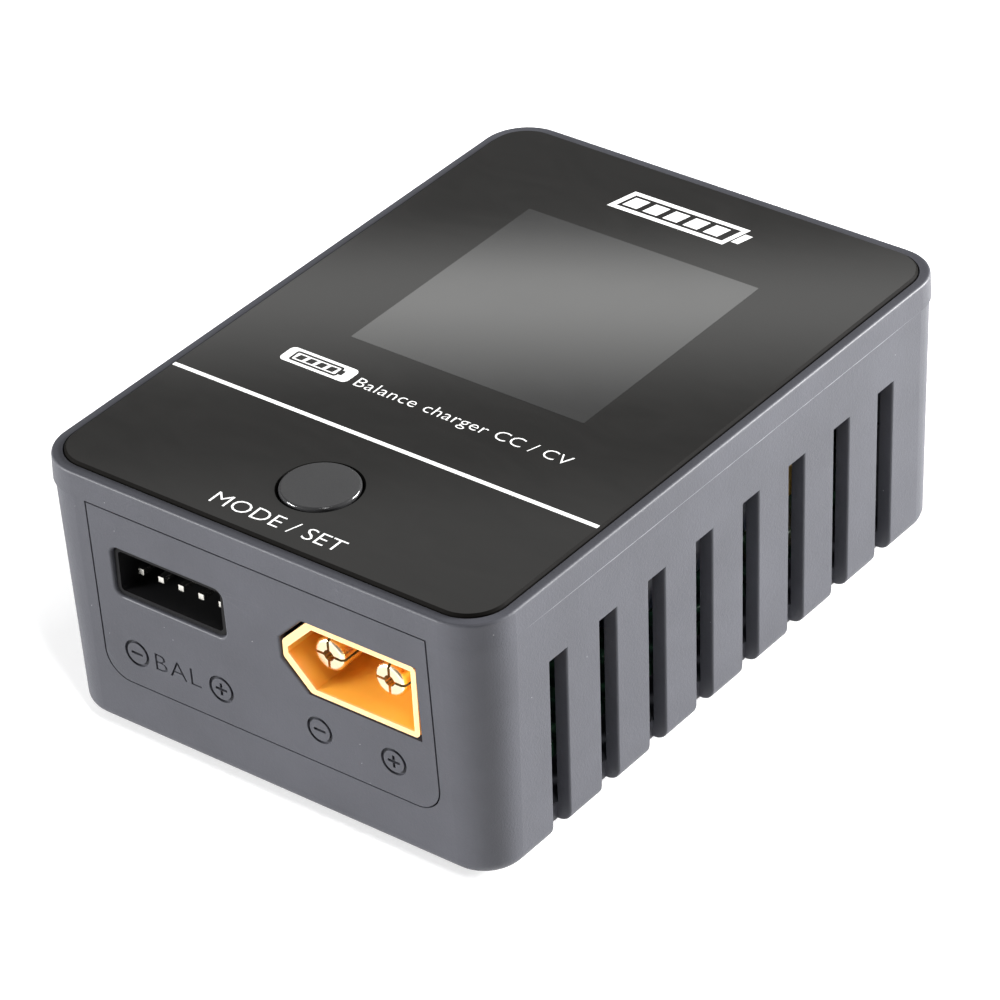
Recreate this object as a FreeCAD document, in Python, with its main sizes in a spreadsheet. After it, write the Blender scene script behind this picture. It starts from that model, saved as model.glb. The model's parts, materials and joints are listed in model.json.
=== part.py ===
"""Balance battery charger: a drafted plastic case with a mains supply board below,
a charger board under the cover, a display, one push button, a battery connector and
a balance socket in the front panel and a mains inlet in the rear panel.

Frame, in millimetres: X to the right, Y towards the rear, Z up. The origin is the
middle of the case on the surface that its rubber feet stand on.
"""

import FreeCAD, Part

import math
import os
import re

import Sketcher

# Driving dimensions: alias, value in millimetres or degrees, what it measures.
DIMENSIONS = [
    ("case_width", 54.4, "cover at the seam, left to right"),
    ("case_depth", 76.4, "cover at the seam, front to rear"),
    ("corner_radius", 5.1, "upright corners at the seam"),
    ("draft_angle", 1.72, "walls lean in away from the seam"),
    ("case_bottom", 0.8, "underside above the standing surface"),
    ("floor_top", 2.8, "inner face of the floor"),
    ("seam_height", 27.47, "parting line of case and cover"),
    ("seam_gap", 0.05, "open line between case and cover"),
    ("seam_step", 0.15, "cover stands out past the case"),
    ("wall", 1.5, "side walls"),
    ("bottom_fillet", 1.5, "outer bottom edge"),
    ("rim_top", 30.2, "top of the cover's rim"),
    ("rim_fillet", 0.3, "outer edge of the rim"),
    ("recess_floor", 29.5, "floor of the faceplate recess"),
    ("plate_under", 28.1, "underside of the cover's plate"),
    ("tongue_bottom", 26.2, "lower edge of the cover's tongue"),
    ("tongue_gap", 0.15, "tongue to wall"),
    ("tongue_wall", 1.0, "tongue thickness"),
    ("slot_count", 8, "vent slots on each side"),
    ("slot_width", 2.6, "one vent slot"),
    ("slot_pitch", 7.68, "vent slot to vent slot"),
    ("slot_top", 21.46, "upper end of the vent slots"),
    ("slot_root", 24.6, "floor edge inside the slots, from the middle"),
    ("slot_edge", 0.2, "rounded outer edges of the vent slots"),
    ("post_x", 21.85, "case screws, from the middle"),
    ("post_y", 32.6, "case screws, from the middle"),
    ("post_radius", 2.8, "screw posts of the case"),
    ("post_top", 14.0, "upper end of the case's screw posts"),
    ("boss_radius", 2.6, "screw bosses of the cover"),
    ("boss_gap", 0.1, "boss above post"),
    ("boss_hole_radius", 1.15, "screw hole in the bosses"),
    ("boss_hole_depth", 8.0, "screw hole in the bosses"),
    ("screw_clearance_radius", 1.3, "hole through the posts"),
    ("counterbore_radius", 2.3, "screw head recess in the floor"),
    ("counterbore_top", 3.8, "shoulder under the screw head"),
    ("screw_head_radius", 2.1, "case screw head"),
    ("screw_head_height", 1.4, "case screw head"),
    ("screw_shank_radius", 1.1, "case screw shank"),
    ("screw_shank_length", 15.0, "case screw shank"),
    ("foot_radius", 4.0, "rubber feet"),
    ("foot_x", 18.0, "rubber feet, from the middle"),
    ("foot_y", 23.0, "rubber feet, from the middle"),
    ("foot_recess", 0.5, "feet let into the floor"),
    ("foot_recess_gap", 0.1, "around the feet"),
    ("foot_edge", 0.3, "chamfer of the feet"),
    ("panel_width", 40.8, "front and rear panels"),
    ("panel_bottom", 7.0, "lower edge of the panels"),
    ("panel_thickness", 1.0, "front and rear panels"),
    ("panel_corner", 2.8, "lower corners of the panels"),
    ("panel_gap", 0.18, "around the panels"),
    ("panel_top_gap", 0.3, "between the panels and the cover"),
    ("panel_lip", 0.8, "case lip behind the panels"),
    ("panel_over", 2.0, "blanks of the panels above the seam"),
    ("panel_cut", 4.0, "reach of the cuts through the panels"),
    ("vent_round_start", 0.6, "rounding of the vents begins off their root"),
    ("opening_gap", 0.25, "panel openings around the connectors"),
    ("opening_round", 0.25, "front edges of the panel openings"),
    ("faceplate_width", 51.9, "glossy plate"),
    ("faceplate_depth", 73.8, "glossy plate"),
    ("faceplate_corner", 4.0, "glossy plate corners"),
    ("faceplate_gap", 0.15, "groove around the glossy plate"),
    ("faceplate_top", 30.5, "top of the glossy plate"),
    ("faceplate_edge", 0.22, "chamfer of the glossy plate"),
    ("tape_thickness", 0.15, "adhesive under the glossy plate"),
    ("tape_margin", 1.0, "adhesive set back from the plate's edge"),
    ("display_y", 9.1, "middle of the display"),
    ("display_width", 31.5, "display glass"),
    ("display_depth", 33.7, "display glass"),
    ("display_bottom", 27.6, "display glass, lower face"),
    ("display_top", 29.4, "display glass, upper face"),
    ("display_gap", 0.3, "cover opening around the display"),
    ("holder_wall", 1.2, "display holder"),
    ("holder_gap", 0.2, "display holder past the glass"),
    ("button_y", -27.5, "middle of the button"),
    ("button_radius", 3.95, "button cap"),
    ("button_hole_radius", 4.3, "hole for the button in the cover"),
    ("faceplate_hole_radius", 4.15, "hole for the button in the glossy plate"),
    ("faceplate_hole_edge", 0.15, "chamfer of the hole in the glossy plate"),
    ("button_top", 30.75, "top of the button"),
    ("button_edge", 0.25, "rounded edge of the button"),
    ("button_flange_radius", 4.9, "flange under the cover"),
    ("button_flange_top", 28.0, "flange under the cover"),
    ("button_flange_bottom", 27.2, "flange under the cover"),
    ("button_stem_radius", 1.5, "stem on the switch"),
    ("plunger_top", 26.9, "top of the switch plunger"),
    ("plunger_radius", 1.2, "switch plunger"),
    ("plunger_bottom", 25.6, "switch plunger inside its housing"),
    ("switch_size", 6.0, "switch housing"),
    ("switch_top", 26.2, "switch housing"),
    ("switch_well_radius", 1.5, "well around the plunger"),
    ("switch_well_bottom", 25.1, "well around the plunger"),
    ("board_width", 48.0, "both circuit boards"),
    ("board_depth", 70.4, "both circuit boards"),
    ("board_thickness", 1.6, "both circuit boards"),
    ("board_notch", 5.8, "corners cut out for the screw posts"),
    ("charger_board_bottom", 23.4, "charger board, underside"),
    ("supply_board_bottom", 7.4, "supply board, underside"),
    ("board_hole_radius", 1.1, "board screw holes"),
    ("board_screw_radius", 0.9, "board screw shank"),
    ("board_screw_head_radius", 1.8, "board screw head"),
    ("board_screw_head_height", 1.2, "board screw head"),
    ("charger_screw_x", 20.5, "charger board screws"),
    ("charger_screw_front", -20.0, "charger board screws"),
    ("charger_screw_rear", 22.0, "charger board screws"),
    ("charger_screw_length", 4.0, "charger board screws"),
    ("standoff_radius", 1.9, "cover posts on the charger board"),
    ("supply_screw_x", 18.5, "supply board screws"),
    ("supply_screw_y", 27.0, "supply board screws"),
    ("supply_screw_length", 4.4, "supply board screws"),
    ("supply_standoff_radius", 2.2, "floor posts under the supply board"),
    ("ribbon_width", 12.0, "display ribbon"),
    ("ribbon_length", 3.6, "display ribbon"),
    ("ribbon_thickness", 0.2, "display ribbon"),
    ("ribbon_gap", 0.2, "between the ribbon and the display"),
    ("ribbon_lift", 0.5, "ribbon above the board"),
    ("battery_x", 10.75, "battery connector, from the middle"),
    ("battery_z", 19.25, "battery connector, centre height"),
    ("battery_width", 16.0, "battery connector shell"),
    ("battery_height", 8.05, "battery connector shell"),
    ("battery_chamfer_x", 3.1, "keyed end of the shell"),
    ("battery_chamfer_z", 3.1, "keyed end of the shell"),
    ("battery_wall", 0.6, "battery connector shell"),
    ("battery_round", 0.6, "outer corners of the shell"),
    ("battery_face", -37.65, "mouth of the shell"),
    ("battery_length", 15.5, "battery connector shell"),
    ("battery_cavity", 10.0, "plug space in the shell"),
    ("battery_pitch", 7.2, "battery pins"),
    ("battery_pin_radius", 1.8, "battery pins"),
    ("battery_pin_round", 0.45, "tips of the battery pins"),
    ("battery_pin_clearance", 0.5, "slot cutters beyond the battery pins"),
    ("battery_pin_bore", 0.6, "bore in the battery pins"),
    ("battery_pin_slot", 0.3, "slots in the battery pins"),
    ("battery_pin_slot_length", 6.0, "slots in the battery pins"),
    ("battery_pin_setback", 1.35, "pin tips behind the mouth"),
    ("battery_tail_radius", 1.0, "solder tails"),
    ("battery_tail_length", 2.6, "solder tails behind the shell"),
    ("balance_x", -11.15, "balance socket, from the middle"),
    ("balance_z", 20.15, "balance socket, centre height"),
    ("balance_opening_width", 13.85, "opening in the front panel"),
    ("balance_opening_height", 5.65, "opening in the front panel"),
    ("balance_opening_corner", 1.0, "opening in the front panel"),
    ("balance_width", 13.6, "socket shroud"),
    ("balance_corner", 0.9, "socket shroud"),
    ("balance_height", 5.4, "socket shroud"),
    ("balance_wall", 0.45, "socket shroud"),
    ("balance_face", -37.45, "mouth of the shroud"),
    ("balance_length", 9.95, "socket shroud"),
    ("balance_cavity", 8.15, "plug space in the shroud"),
    ("balance_pin_count", 5, "balance pins"),
    ("balance_pitch", 2.5, "balance pins"),
    ("balance_pin", 0.64, "square balance pins"),
    ("balance_pin_z", 19.6, "balance pins, height"),
    ("balance_pin_tip", -35.95, "tips of the balance pins"),
    ("balance_pin_back", -26.2, "bend of the balance pins"),
    ("inlet_z", 14.5, "mains inlet, centre height"),
    ("inlet_width", 21.0, "mains inlet body"),
    ("inlet_height", 11.0, "mains inlet body"),
    ("inlet_face", 37.65, "mouth of the inlet"),
    ("inlet_length", 18.0, "mains inlet body"),
    ("inlet_edge", 1.0, "corners of the inlet body"),
    ("inlet_cavity_width", 16.4, "plug space in the inlet"),
    ("inlet_cavity_height", 8.2, "plug space in the inlet"),
    ("inlet_cavity_corner", 4.0, "plug space in the inlet"),
    ("inlet_cavity_depth", 12.0, "plug space in the inlet"),
    ("inlet_pitch", 8.6, "inlet pins"),
    ("inlet_pin_radius", 1.2, "inlet pins"),
    ("inlet_pin_round", 0.4, "tips of the inlet pins"),
    ("inlet_pin_setback", 2.5, "pin tips behind the mouth"),
    ("inlet_tail", 1.4, "inlet pins behind the body"),
    ("core_width", 20.0, "transformer core"),
    ("core_depth", 19.0, "transformer core"),
    ("core_height", 6.0, "transformer core"),
    ("core_leg", 6.0, "middle leg of the core"),
    ("core_window_width", 4.0, "windows of the core"),
    ("core_window_depth", 12.6, "windows of the core"),
    ("transformer_z", 15.2, "middle of the transformer"),
    ("winding_width", 12.8, "transformer winding"),
    ("winding_height", 11.2, "transformer winding"),
    ("bobbin_wall", 0.4, "bobbin around the middle leg"),
    ("bobbin_leg_gap", 0.1, "bobbin to core"),
    ("bobbin_flange", 0.8, "bobbin end flanges"),
    ("bobbin_flange_width", 13.4, "bobbin end flanges"),
    ("bobbin_flange_height", 12.0, "bobbin end flanges"),
    ("choke_x", -16.5, "filter choke"),
    ("choke_y", 19.4, "filter choke"),
    ("choke_z", 12.7, "filter choke"),
    ("choke_ring", 3.6, "filter choke, mean radius"),
    ("choke_core_radius", 0.63, "filter choke core, round section"),
    ("choke_wire_ring", 1.1, "filter choke turns, mean radius"),
    ("choke_wire", 0.32, "filter choke wire radius"),
    ("choke_turns", 14, "filter choke turns"),
    ("choke_base", 10.4, "filter choke base, upper face"),
    ("bulk_radius", 6.0, "bulk capacitor"),
    ("bulk_length", 20.0, "bulk capacitor"),
    ("bulk_x", 16.2, "bulk capacitor"),
    ("bulk_front", -8.0, "bulk capacitor"),
    ("bulk_bevel", 0.6, "bulk capacitor ends"),
    ("output_radius", 3.8, "output capacitors"),
    ("output_length", 12.0, "output capacitors"),
    ("output_left", -15.5, "output capacitors"),
    ("output_front", -30.0, "output capacitors, first"),
    ("output_pitch", 9.0, "output capacitors"),
    ("fuse_radius", 2.0, "mains fuse"),
    ("fuse_length", 9.0, "mains fuse"),
    ("fuse_x", 14.2, "mains fuse"),
    ("fuse_front", 25.8, "mains fuse"),
    ("disc_radius", 4.0, "safety capacitor"),
    ("disc_thickness", 3.2, "safety capacitor"),
    ("disc_x", -14.2, "safety capacitor"),
    ("disc_y", 31.0, "safety capacitor"),
    ("link_radius", 0.9, "wires between the boards"),
    ("link_x", -15.0, "wires between the boards"),
    ("link_y", -9.0, "wires between the boards"),
    ("link_pitch", 3.0, "wires between the boards"),
    ("sink_x", -21.5, "heat sink, outer face"),
    ("sink_front", -12.0, "heat sink"),
    ("sink_length", 26.0, "heat sink"),
    ("sink_plate", 1.5, "heat sink"),
    ("sink_height", 11.0, "heat sink"),
    ("sink_foot", 4.0, "heat sink"),
    ("smd_capacitor_radius", 3.15, "charger board capacitors"),
    ("smd_capacitor_height", 5.6, "charger board capacitors"),
    ("smd_capacitor_x", 3.0, "charger board capacitors"),
    ("smd_capacitor_y", -13.6, "charger board capacitors"),
    ("smd_capacitor_pitch", 7.0, "charger board capacitors"),
    ("buzzer_radius", 4.5, "buzzer"),
    ("buzzer_height", 2.6, "buzzer"),
    ("buzzer_x", 13.0, "buzzer"),
    ("buzzer_y", -20.0, "buzzer"),
    ("buzzer_hole", 0.7, "buzzer"),
    ("sheet_thickness", 0.3, "insulating sheet"),
    ("sheet_width", 31.0, "insulating sheet"),
    ("sheet_depth", 62.0, "insulating sheet"),
    ("edge_round", 0.4, "edges of moulded components"),
]

# Plain block-shaped components: node, width, depth, height, x, y, face that it sits on.
BLOCKS = [
    ("microcontroller", 7.0, 7.0, 1.0, -13.0, -20.0, "charger_top"),
    ("ribbon_connector", 14.0, 3.0, 1.2, 0.0, -13.6, "charger_top"),
    ("power_inductor", 10.0, 10.0, 4.0, -9.0, -18.0, "charger_under"),
    ("output_rectifier", 10.0, 6.0, 2.3, 11.0, -25.0, "supply_top"),
    ("optocoupler", 6.0, 4.6, 3.4, 9.0, -14.0, "supply_top"),
    ("filter_capacitor", 6.0, 11.6, 10.5, 16.0, 19.0, "supply_top"),
    ("bridge_rectifier", 8.5, 6.4, 2.6, 0.0, 14.6, "supply_top"),
    ("switching_transistor", 4.5, 10.0, 10.0, -17.7, 2.0, "supply_top"),
]

# Rows of equal blocks: node, width, depth, height, first x, y, count, pitch, face.
BLOCK_ROWS = [
    ("power_transistors", 5.0, 6.0, 1.1, -15.0, 12.0, 4, 8.0, "charger_under"),
    ("balance_resistors", 2.0, 3.2, 0.6, -14.0, 31.0, 8, 4.0, "charger_top"),
]

NEAR = 1e-3

doc = FreeCAD.newDocument("balance_charger")
sheet = doc.addObject("Spreadsheet::Sheet", "dims")
aliases = set()


def add_cells(entries):
    """Write alias, value and note of each entry to the next free rows."""
    for alias, value, note in entries:
        row = len(aliases) + 1
        sheet.set(f"A{row}", alias)
        sheet.set(f"B{row}", str(value))
        sheet.set(f"C{row}", note)
        sheet.setAlias(f"B{row}", alias)
        aliases.add(alias)


def formula(text):
    """An expression on the sheet's cells, from one that uses the bare aliases."""
    return re.sub(r"[a-z][a-z_]*", lambda word: f"dims.{word.group(0)}", str(text))


def value(text):
    """The present value of such an expression."""
    return float(sheet.evalExpression(formula(text)))


def bind(item, **properties):
    """Bind properties of an object to expressions on the sheet."""
    for name, text in properties.items():
        item.setExpression(name, formula(text))


def place(item, x, y, z):
    """Bind the position of an object."""
    for axis, text in zip("xyz", (x, y, z)):
        item.setExpression(f"Placement.Base.{axis}", formula(text))


# ---------------------------------------------------------------- sketches

def make_body(label):
    body = doc.addObject("PartDesign::Body", label)
    body.Label = label
    return body


def sketch_on(body, name, role, height="0", tilt=0.0, lift="0"):
    """A sketch on one of the body's origin planes, moved along its normal.

    lift moves the sketch's origin up its own Y axis and tilt leans it about X.
    """
    plane = next(item for item in body.Origin.OriginFeatures if item.Role == role)
    sketch = body.newObject("Sketcher::SketchObject", name)
    sketch.AttachmentSupport = [(plane, "")]
    sketch.MapMode = "FlatFace"
    turn = FreeCAD.Rotation(FreeCAD.Vector(1, 0, 0), tilt)
    sketch.AttachmentOffset = FreeCAD.Placement(FreeCAD.Vector(0, 0, 0), turn)
    sketch.setExpression("AttachmentOffset.Base.y", formula(lift))
    sketch.setExpression("AttachmentOffset.Base.z", formula(height))
    return sketch


def fix_point(sketch, geometry, end, x, y):
    """Dimension a point of the sketch from its origin."""
    for kind, text in (("DistanceX", x), ("DistanceY", y)):
        index = sketch.addConstraint(Sketcher.Constraint(kind, -1, 1, geometry, end, value(text)))
        sketch.setExpression(f"Constraints[{index}]", formula(text))


def draw_polygon(sketch, points):
    """A closed outline of straight lines through points given as expressions."""
    corners = [FreeCAD.Vector(value(x), value(y), 0) for x, y in points]
    lines = []
    for start, end in zip(corners, corners[1:] + corners[:1]):
        lines.append(sketch.addGeometry(Part.LineSegment(start, end), False))
    for line, follower in zip(lines, lines[1:] + lines[:1]):
        sketch.addConstraint(Sketcher.Constraint("Coincident", line, 2, follower, 1))
    for line, (x, y) in zip(lines, points):
        fix_point(sketch, line, 1, x, y)


def draw_rectangle(sketch, x, y, width, height):
    """A rectangle about the middle (x, y)."""
    left, right = f"{x} - ({width}) / 2", f"{x} + ({width}) / 2"
    low, high = f"{y} - ({height}) / 2", f"{y} + ({height}) / 2"
    draw_polygon(sketch, [(left, low), (right, low), (right, high), (left, high)])


def draw_circle(sketch, x, y, radius):
    centre = FreeCAD.Vector(value(x), value(y), 0)
    circle = Part.Circle(centre, FreeCAD.Vector(0, 0, 1), value(radius))
    geometry = sketch.addGeometry(circle, False)
    fix_point(sketch, geometry, 3, x, y)
    index = sketch.addConstraint(Sketcher.Constraint("Radius", geometry, value(radius)))
    sketch.setExpression(f"Constraints[{index}]", formula(radius))


def draw_rounded(sketch, x, y, width, height, radius):
    """A rectangle about (x, y) with equal round corners."""
    half_width = f"({width}) / 2 - ({radius})"
    half_height = f"({height}) / 2 - ({radius})"
    size = value(radius)
    corners = []
    for turn, (across, up) in enumerate([(1, -1), (1, 1), (-1, 1), (-1, -1)]):
        centre_x = f"{x} + {across} * ({half_width})"
        centre_y = f"{y} + {up} * ({half_height})"
        middle = FreeCAD.Vector(value(centre_x), value(centre_y), 0)
        start = math.radians(90 * (turn - 1))
        circle = Part.Circle(middle, FreeCAD.Vector(0, 0, 1), size)
        arc = Part.ArcOfCircle(circle, start, start + math.pi / 2)
        corners.append((arc, centre_x, centre_y, sketch.addGeometry(arc, False)))
    lines = []
    for (arc, _, _, _), (follower, _, _, _) in zip(corners, corners[1:] + corners[:1]):
        line = Part.LineSegment(arc.EndPoint, follower.StartPoint)
        lines.append(sketch.addGeometry(line, False))
    for place_in_order, line in enumerate(lines):
        before = corners[place_in_order][3]
        after = corners[(place_in_order + 1) % 4][3]
        sketch.addConstraint(Sketcher.Constraint("Tangent", before, 2, line, 1))
        sketch.addConstraint(Sketcher.Constraint("Tangent", line, 2, after, 1))
    for _, centre_x, centre_y, geometry in corners:
        fix_point(sketch, geometry, 3, centre_x, centre_y)
    for _, _, _, geometry in corners[1:]:
        sketch.addConstraint(Sketcher.Constraint("Equal", corners[0][3], geometry))
    index = sketch.addConstraint(Sketcher.Constraint("Radius", corners[0][3], size))
    sketch.setExpression(f"Constraints[{index}]", formula(radius))


# ---------------------------------------------------------------- solid features

def pad(body, sketch, length, downward=False, taper=None):
    feature = body.newObject("PartDesign::Pad", f"{sketch.Name}Pad")
    feature.Profile = sketch
    feature.Reversed = downward
    bind(feature, Length=length)
    if taper is not None:
        bind(feature, TaperAngle=taper)
    doc.recompute()
    return feature


def pocket(body, sketch, length, reverse=False, taper=None):
    """Cut a sketch out of the body and make sure that it took something away."""
    before = body.Shape.Volume
    feature = body.newObject("PartDesign::Pocket", f"{sketch.Name}Pocket")
    feature.Profile = sketch
    feature.Reversed = reverse
    bind(feature, Length=length)
    if taper is not None:
        bind(feature, TaperAngle=taper)
    doc.recompute()
    if body.Shape.Volume >= before:
        raise ValueError(f"{feature.Name} cuts nothing from {body.Label}")
    return feature


def dress(body, kind, size_name, size, chosen):
    """Round or chamfer the edges of the body's tip that chosen() accepts."""
    base = body.Tip
    names = [f"Edge{number}" for number, edge in enumerate(base.Shape.Edges, 1) if chosen(edge)]
    feature = body.newObject(kind, f"{body.Label}{kind.split('::')[1]}")
    feature.Base = (base, names)
    bind(feature, **{size_name: size})
    doc.recompute()
    return feature


def at_height(height):
    """Chooses the edges that lie level at a height."""
    level = value(height)

    def chosen(edge):
        box = edge.BoundBox
        return abs(box.ZMin - level) < NEAR and abs(box.ZMax - level) < NEAR

    return chosen


# ---------------------------------------------------------------- primitives

def block(name, size, low):
    """A Part::Box from its three sizes and its lowest corner."""
    item = doc.addObject("Part::Box", name)
    bind(item, Length=size[0], Width=size[1], Height=size[2])
    place(item, *low)
    return item


def rod(name, radius, length, start, axis="z"):
    """A Part::Cylinder from its start point along an axis of the frame."""
    item = doc.addObject("Part::Cylinder", name)
    bind(item, Radius=radius, Height=length)
    turns = {"x": ((0, 1, 0), 90), "y": ((1, 0, 0), -90), "z": ((0, 0, 1), 0)}
    direction, angle = turns[axis]
    turn = FreeCAD.Rotation(FreeCAD.Vector(*direction), angle)
    item.Placement = FreeCAD.Placement(FreeCAD.Vector(0, 0, 0), turn)
    place(item, *start)
    return item


def fuse(name, items):
    item = doc.addObject("Part::MultiFuse", name)
    item.Shapes = items
    return item


def cut(name, base, tool):
    item = doc.addObject("Part::Cut", name)
    item.Base = base
    item.Tool = tool
    return item


def group(name, items):
    """Several separate solids as one sub-part."""
    item = doc.addObject("Part::Compound", name)
    item.Links = items
    return item


def round_edges(name, base, radius, chosen=None):
    """A Part::Fillet on the chosen edges of a finished shape, or on all of them."""
    doc.recompute()
    size = value(radius)
    edges = base.Shape.Edges
    numbers = [n for n, edge in enumerate(edges, 1) if chosen is None or chosen(edge)]
    item = doc.addObject("Part::Fillet", name)
    item.Base = base
    item.Edges = [(number, size, size) for number in numbers]
    return item


def ends_of(axis):
    """Chooses the two end circles of a rod along an axis."""
    def chosen(edge):
        box = edge.BoundBox
        spans = {"x": box.XLength, "y": box.YLength, "z": box.ZLength}
        return spans[axis] < NEAR and len(edge.Vertexes) == 1

    return chosen


# ---------------------------------------------------------------- case

CORNERS = [(-1, -1), (1, -1), (1, 1), (-1, 1)]


def draw_corner_circles(sketch, x, y, radius):
    """One circle in each quarter of the case."""
    for across, along in CORNERS:
        draw_circle(sketch, f"{across} * {x}", f"{along} * {y}", radius)


def make_lower_case():
    body = make_body("lower_case")
    top = "seam_height - seam_gap"
    width = "(case_width - 2 * seam_step)"
    depth = "(case_depth - 2 * seam_step)"
    outer = sketch_on(body, "LowerOutline", "XY_Plane", top)
    draw_rounded(outer, "0", "0", width, depth, "corner_radius")
    pad(body, outer, f"{top} - case_bottom", downward=True, taper="0 - draft_angle")
    dress(body, "PartDesign::Fillet", "Radius", "bottom_fillet", at_height("case_bottom"))
    inner = sketch_on(body, "LowerCavity", "XY_Plane", top)
    inner_width, inner_depth = f"{width} - 2 * wall", f"{depth} - 2 * wall"
    draw_rounded(inner, "0", "0", inner_width, inner_depth, "corner_radius - wall")
    pocket(body, inner, f"{top} - floor_top", taper="0 - draft_angle")

    posts = sketch_on(body, "ScrewPosts", "XY_Plane", "floor_top")
    draw_corner_circles(posts, "post_x", "post_y", "post_radius")
    pad(body, posts, "post_top - floor_top")
    standoffs = sketch_on(body, "SupplyStandoffs", "XY_Plane", "floor_top")
    draw_corner_circles(standoffs, "supply_screw_x", "supply_screw_y", "supply_standoff_radius")
    pad(body, standoffs, "supply_board_bottom - floor_top")
    pilots = sketch_on(body, "SupplyPilots", "XY_Plane", "supply_board_bottom")
    draw_corner_circles(pilots, "supply_screw_x", "supply_screw_y", "board_screw_radius")
    pocket(body, pilots, "supply_screw_length - board_thickness")
    heads = sketch_on(body, "ScrewRecesses", "XY_Plane", "case_bottom")
    draw_corner_circles(heads, "post_x", "post_y", "counterbore_radius")
    pocket(body, heads, "counterbore_top - case_bottom", reverse=True)
    holes = sketch_on(body, "ScrewHoles", "XY_Plane", "case_bottom")
    draw_corner_circles(holes, "post_x", "post_y", "screw_clearance_radius")
    pocket(body, holes, "post_top", reverse=True)
    feet = sketch_on(body, "FootRecesses", "XY_Plane", "case_bottom")
    draw_corner_circles(feet, "foot_x", "foot_y", "foot_radius + foot_recess_gap")
    pocket(body, feet, "foot_recess", reverse=True)

    for side, name in ((1, "Right"), (-1, "Left")):
        slots = sketch_on(body, f"{name}Slots", "YZ_Plane", f"{side} * slot_root")
        for index in range(int(value("slot_count"))):
            middle = f"({index} - (slot_count - 1) / 2) * slot_pitch"
            draw_rectangle(slots, middle, "slot_top / 2", "slot_width", "slot_top")
        pocket(body, slots, "case_width / 2", reverse=side > 0)
    dress(body, "PartDesign::Fillet", "Radius", "slot_edge", is_slot_edge)

    for side, name in ((-1, "Front"), (1, "Rear")):
        cut_panel_opening(body, side, name)


def is_slot_edge(edge):
    """The outer edges of the vent slots: both sides, the top and the stretch underneath."""
    box = edge.BoundBox
    nearest = min(abs(corner.X) for corner in edge.Vertexes)
    if abs(box.ZMin - value("slot_top")) < NEAR and box.ZLength < NEAR:
        return nearest > value("case_width / 2 - wall")
    half, pitch = value("slot_width / 2"), value("slot_pitch")
    first = value("0 - (slot_count - 1) / 2 * slot_pitch")
    middles = [first + index * pitch for index in range(int(value("slot_count")))]
    on_side = any(abs(abs(box.YMin - middle) - half) < NEAR for middle in middles)
    underneath = abs(box.ZMax - value("case_bottom")) < NEAR
    return box.YLength < NEAR and on_side and (nearest > value("slot_root + vent_round_start") or underneath)


def panel_sketch(body, name, side, outside="0"):
    """A sketch in the drafted plane of the front (side -1) or rear (side 1) wall.

    outside moves it clear of the wall, so that a cut starts in the open.
    """
    face = f"{-side} * (case_depth / 2 - seam_step + {outside})"
    lean = -side * value("draft_angle")
    return sketch_on(body, name, "XZ_Plane", face, lean, "seam_height - seam_gap")


def draw_panel_outline(sketch, grow):
    """Square at the seam and round at the lower corners; grow widens it all round."""
    half = f"(panel_width / 2 + {grow})"
    low = f"(panel_bottom - {grow} - seam_height + seam_gap)"
    radius = f"(panel_corner + {grow})"
    high = "panel_over"
    middle_left = FreeCAD.Vector(value(f"{radius} - {half}"), value(f"{low} + {radius}"), 0)
    middle_right = FreeCAD.Vector(value(f"{half} - {radius}"), value(f"{low} + {radius}"), 0)
    up = FreeCAD.Vector(0, 0, 1)
    size = value(radius)
    left = Part.ArcOfCircle(Part.Circle(middle_left, up, size), math.pi, 1.5 * math.pi)
    right = Part.ArcOfCircle(Part.Circle(middle_right, up, size), 1.5 * math.pi, 2 * math.pi)
    top_left = FreeCAD.Vector(-value(half), value(high), 0)
    top_right = FreeCAD.Vector(value(half), value(high), 0)
    pieces = [
        Part.LineSegment(top_left, left.StartPoint),
        left,
        Part.LineSegment(left.EndPoint, right.StartPoint),
        right,
        Part.LineSegment(right.EndPoint, top_right),
        Part.LineSegment(top_right, top_left),
    ]
    order = [sketch.addGeometry(piece, False) for piece in pieces]
    for first, second in zip(order[:4], order[1:5]):
        sketch.addConstraint(Sketcher.Constraint("Tangent", first, 2, second, 1))
    sketch.addConstraint(Sketcher.Constraint("Coincident", order[4], 2, order[5], 1))
    sketch.addConstraint(Sketcher.Constraint("Coincident", order[5], 2, order[0], 1))
    sketch.addConstraint(Sketcher.Constraint("Equal", order[1], order[3]))
    index = sketch.addConstraint(Sketcher.Constraint("Radius", order[1], size))
    sketch.setExpression(f"Constraints[{index}]", formula(radius))
    fix_point(sketch, order[0], 1, f"0 - {half}", high)
    fix_point(sketch, order[5], 1, half, high)
    fix_point(sketch, order[1], 3, f"{radius} - {half}", f"{low} + {radius}")
    sketch.addConstraint(Sketcher.Constraint("Vertical", order[4]))


def cut_panel_opening(body, side, name):
    """The rebate that holds a panel and the smaller opening behind it."""
    rebate = panel_sketch(body, f"{name}Rebate", side, "wall")
    draw_panel_outline(rebate, "panel_gap")
    pocket(body, rebate, "wall + panel_thickness + panel_gap / 2", reverse=side > 0)
    opening = panel_sketch(body, f"{name}Opening", side, "wall")
    draw_panel_outline(opening, "(0 - panel_lip)")
    pocket(body, opening, "3 * wall", reverse=side > 0)


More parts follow.
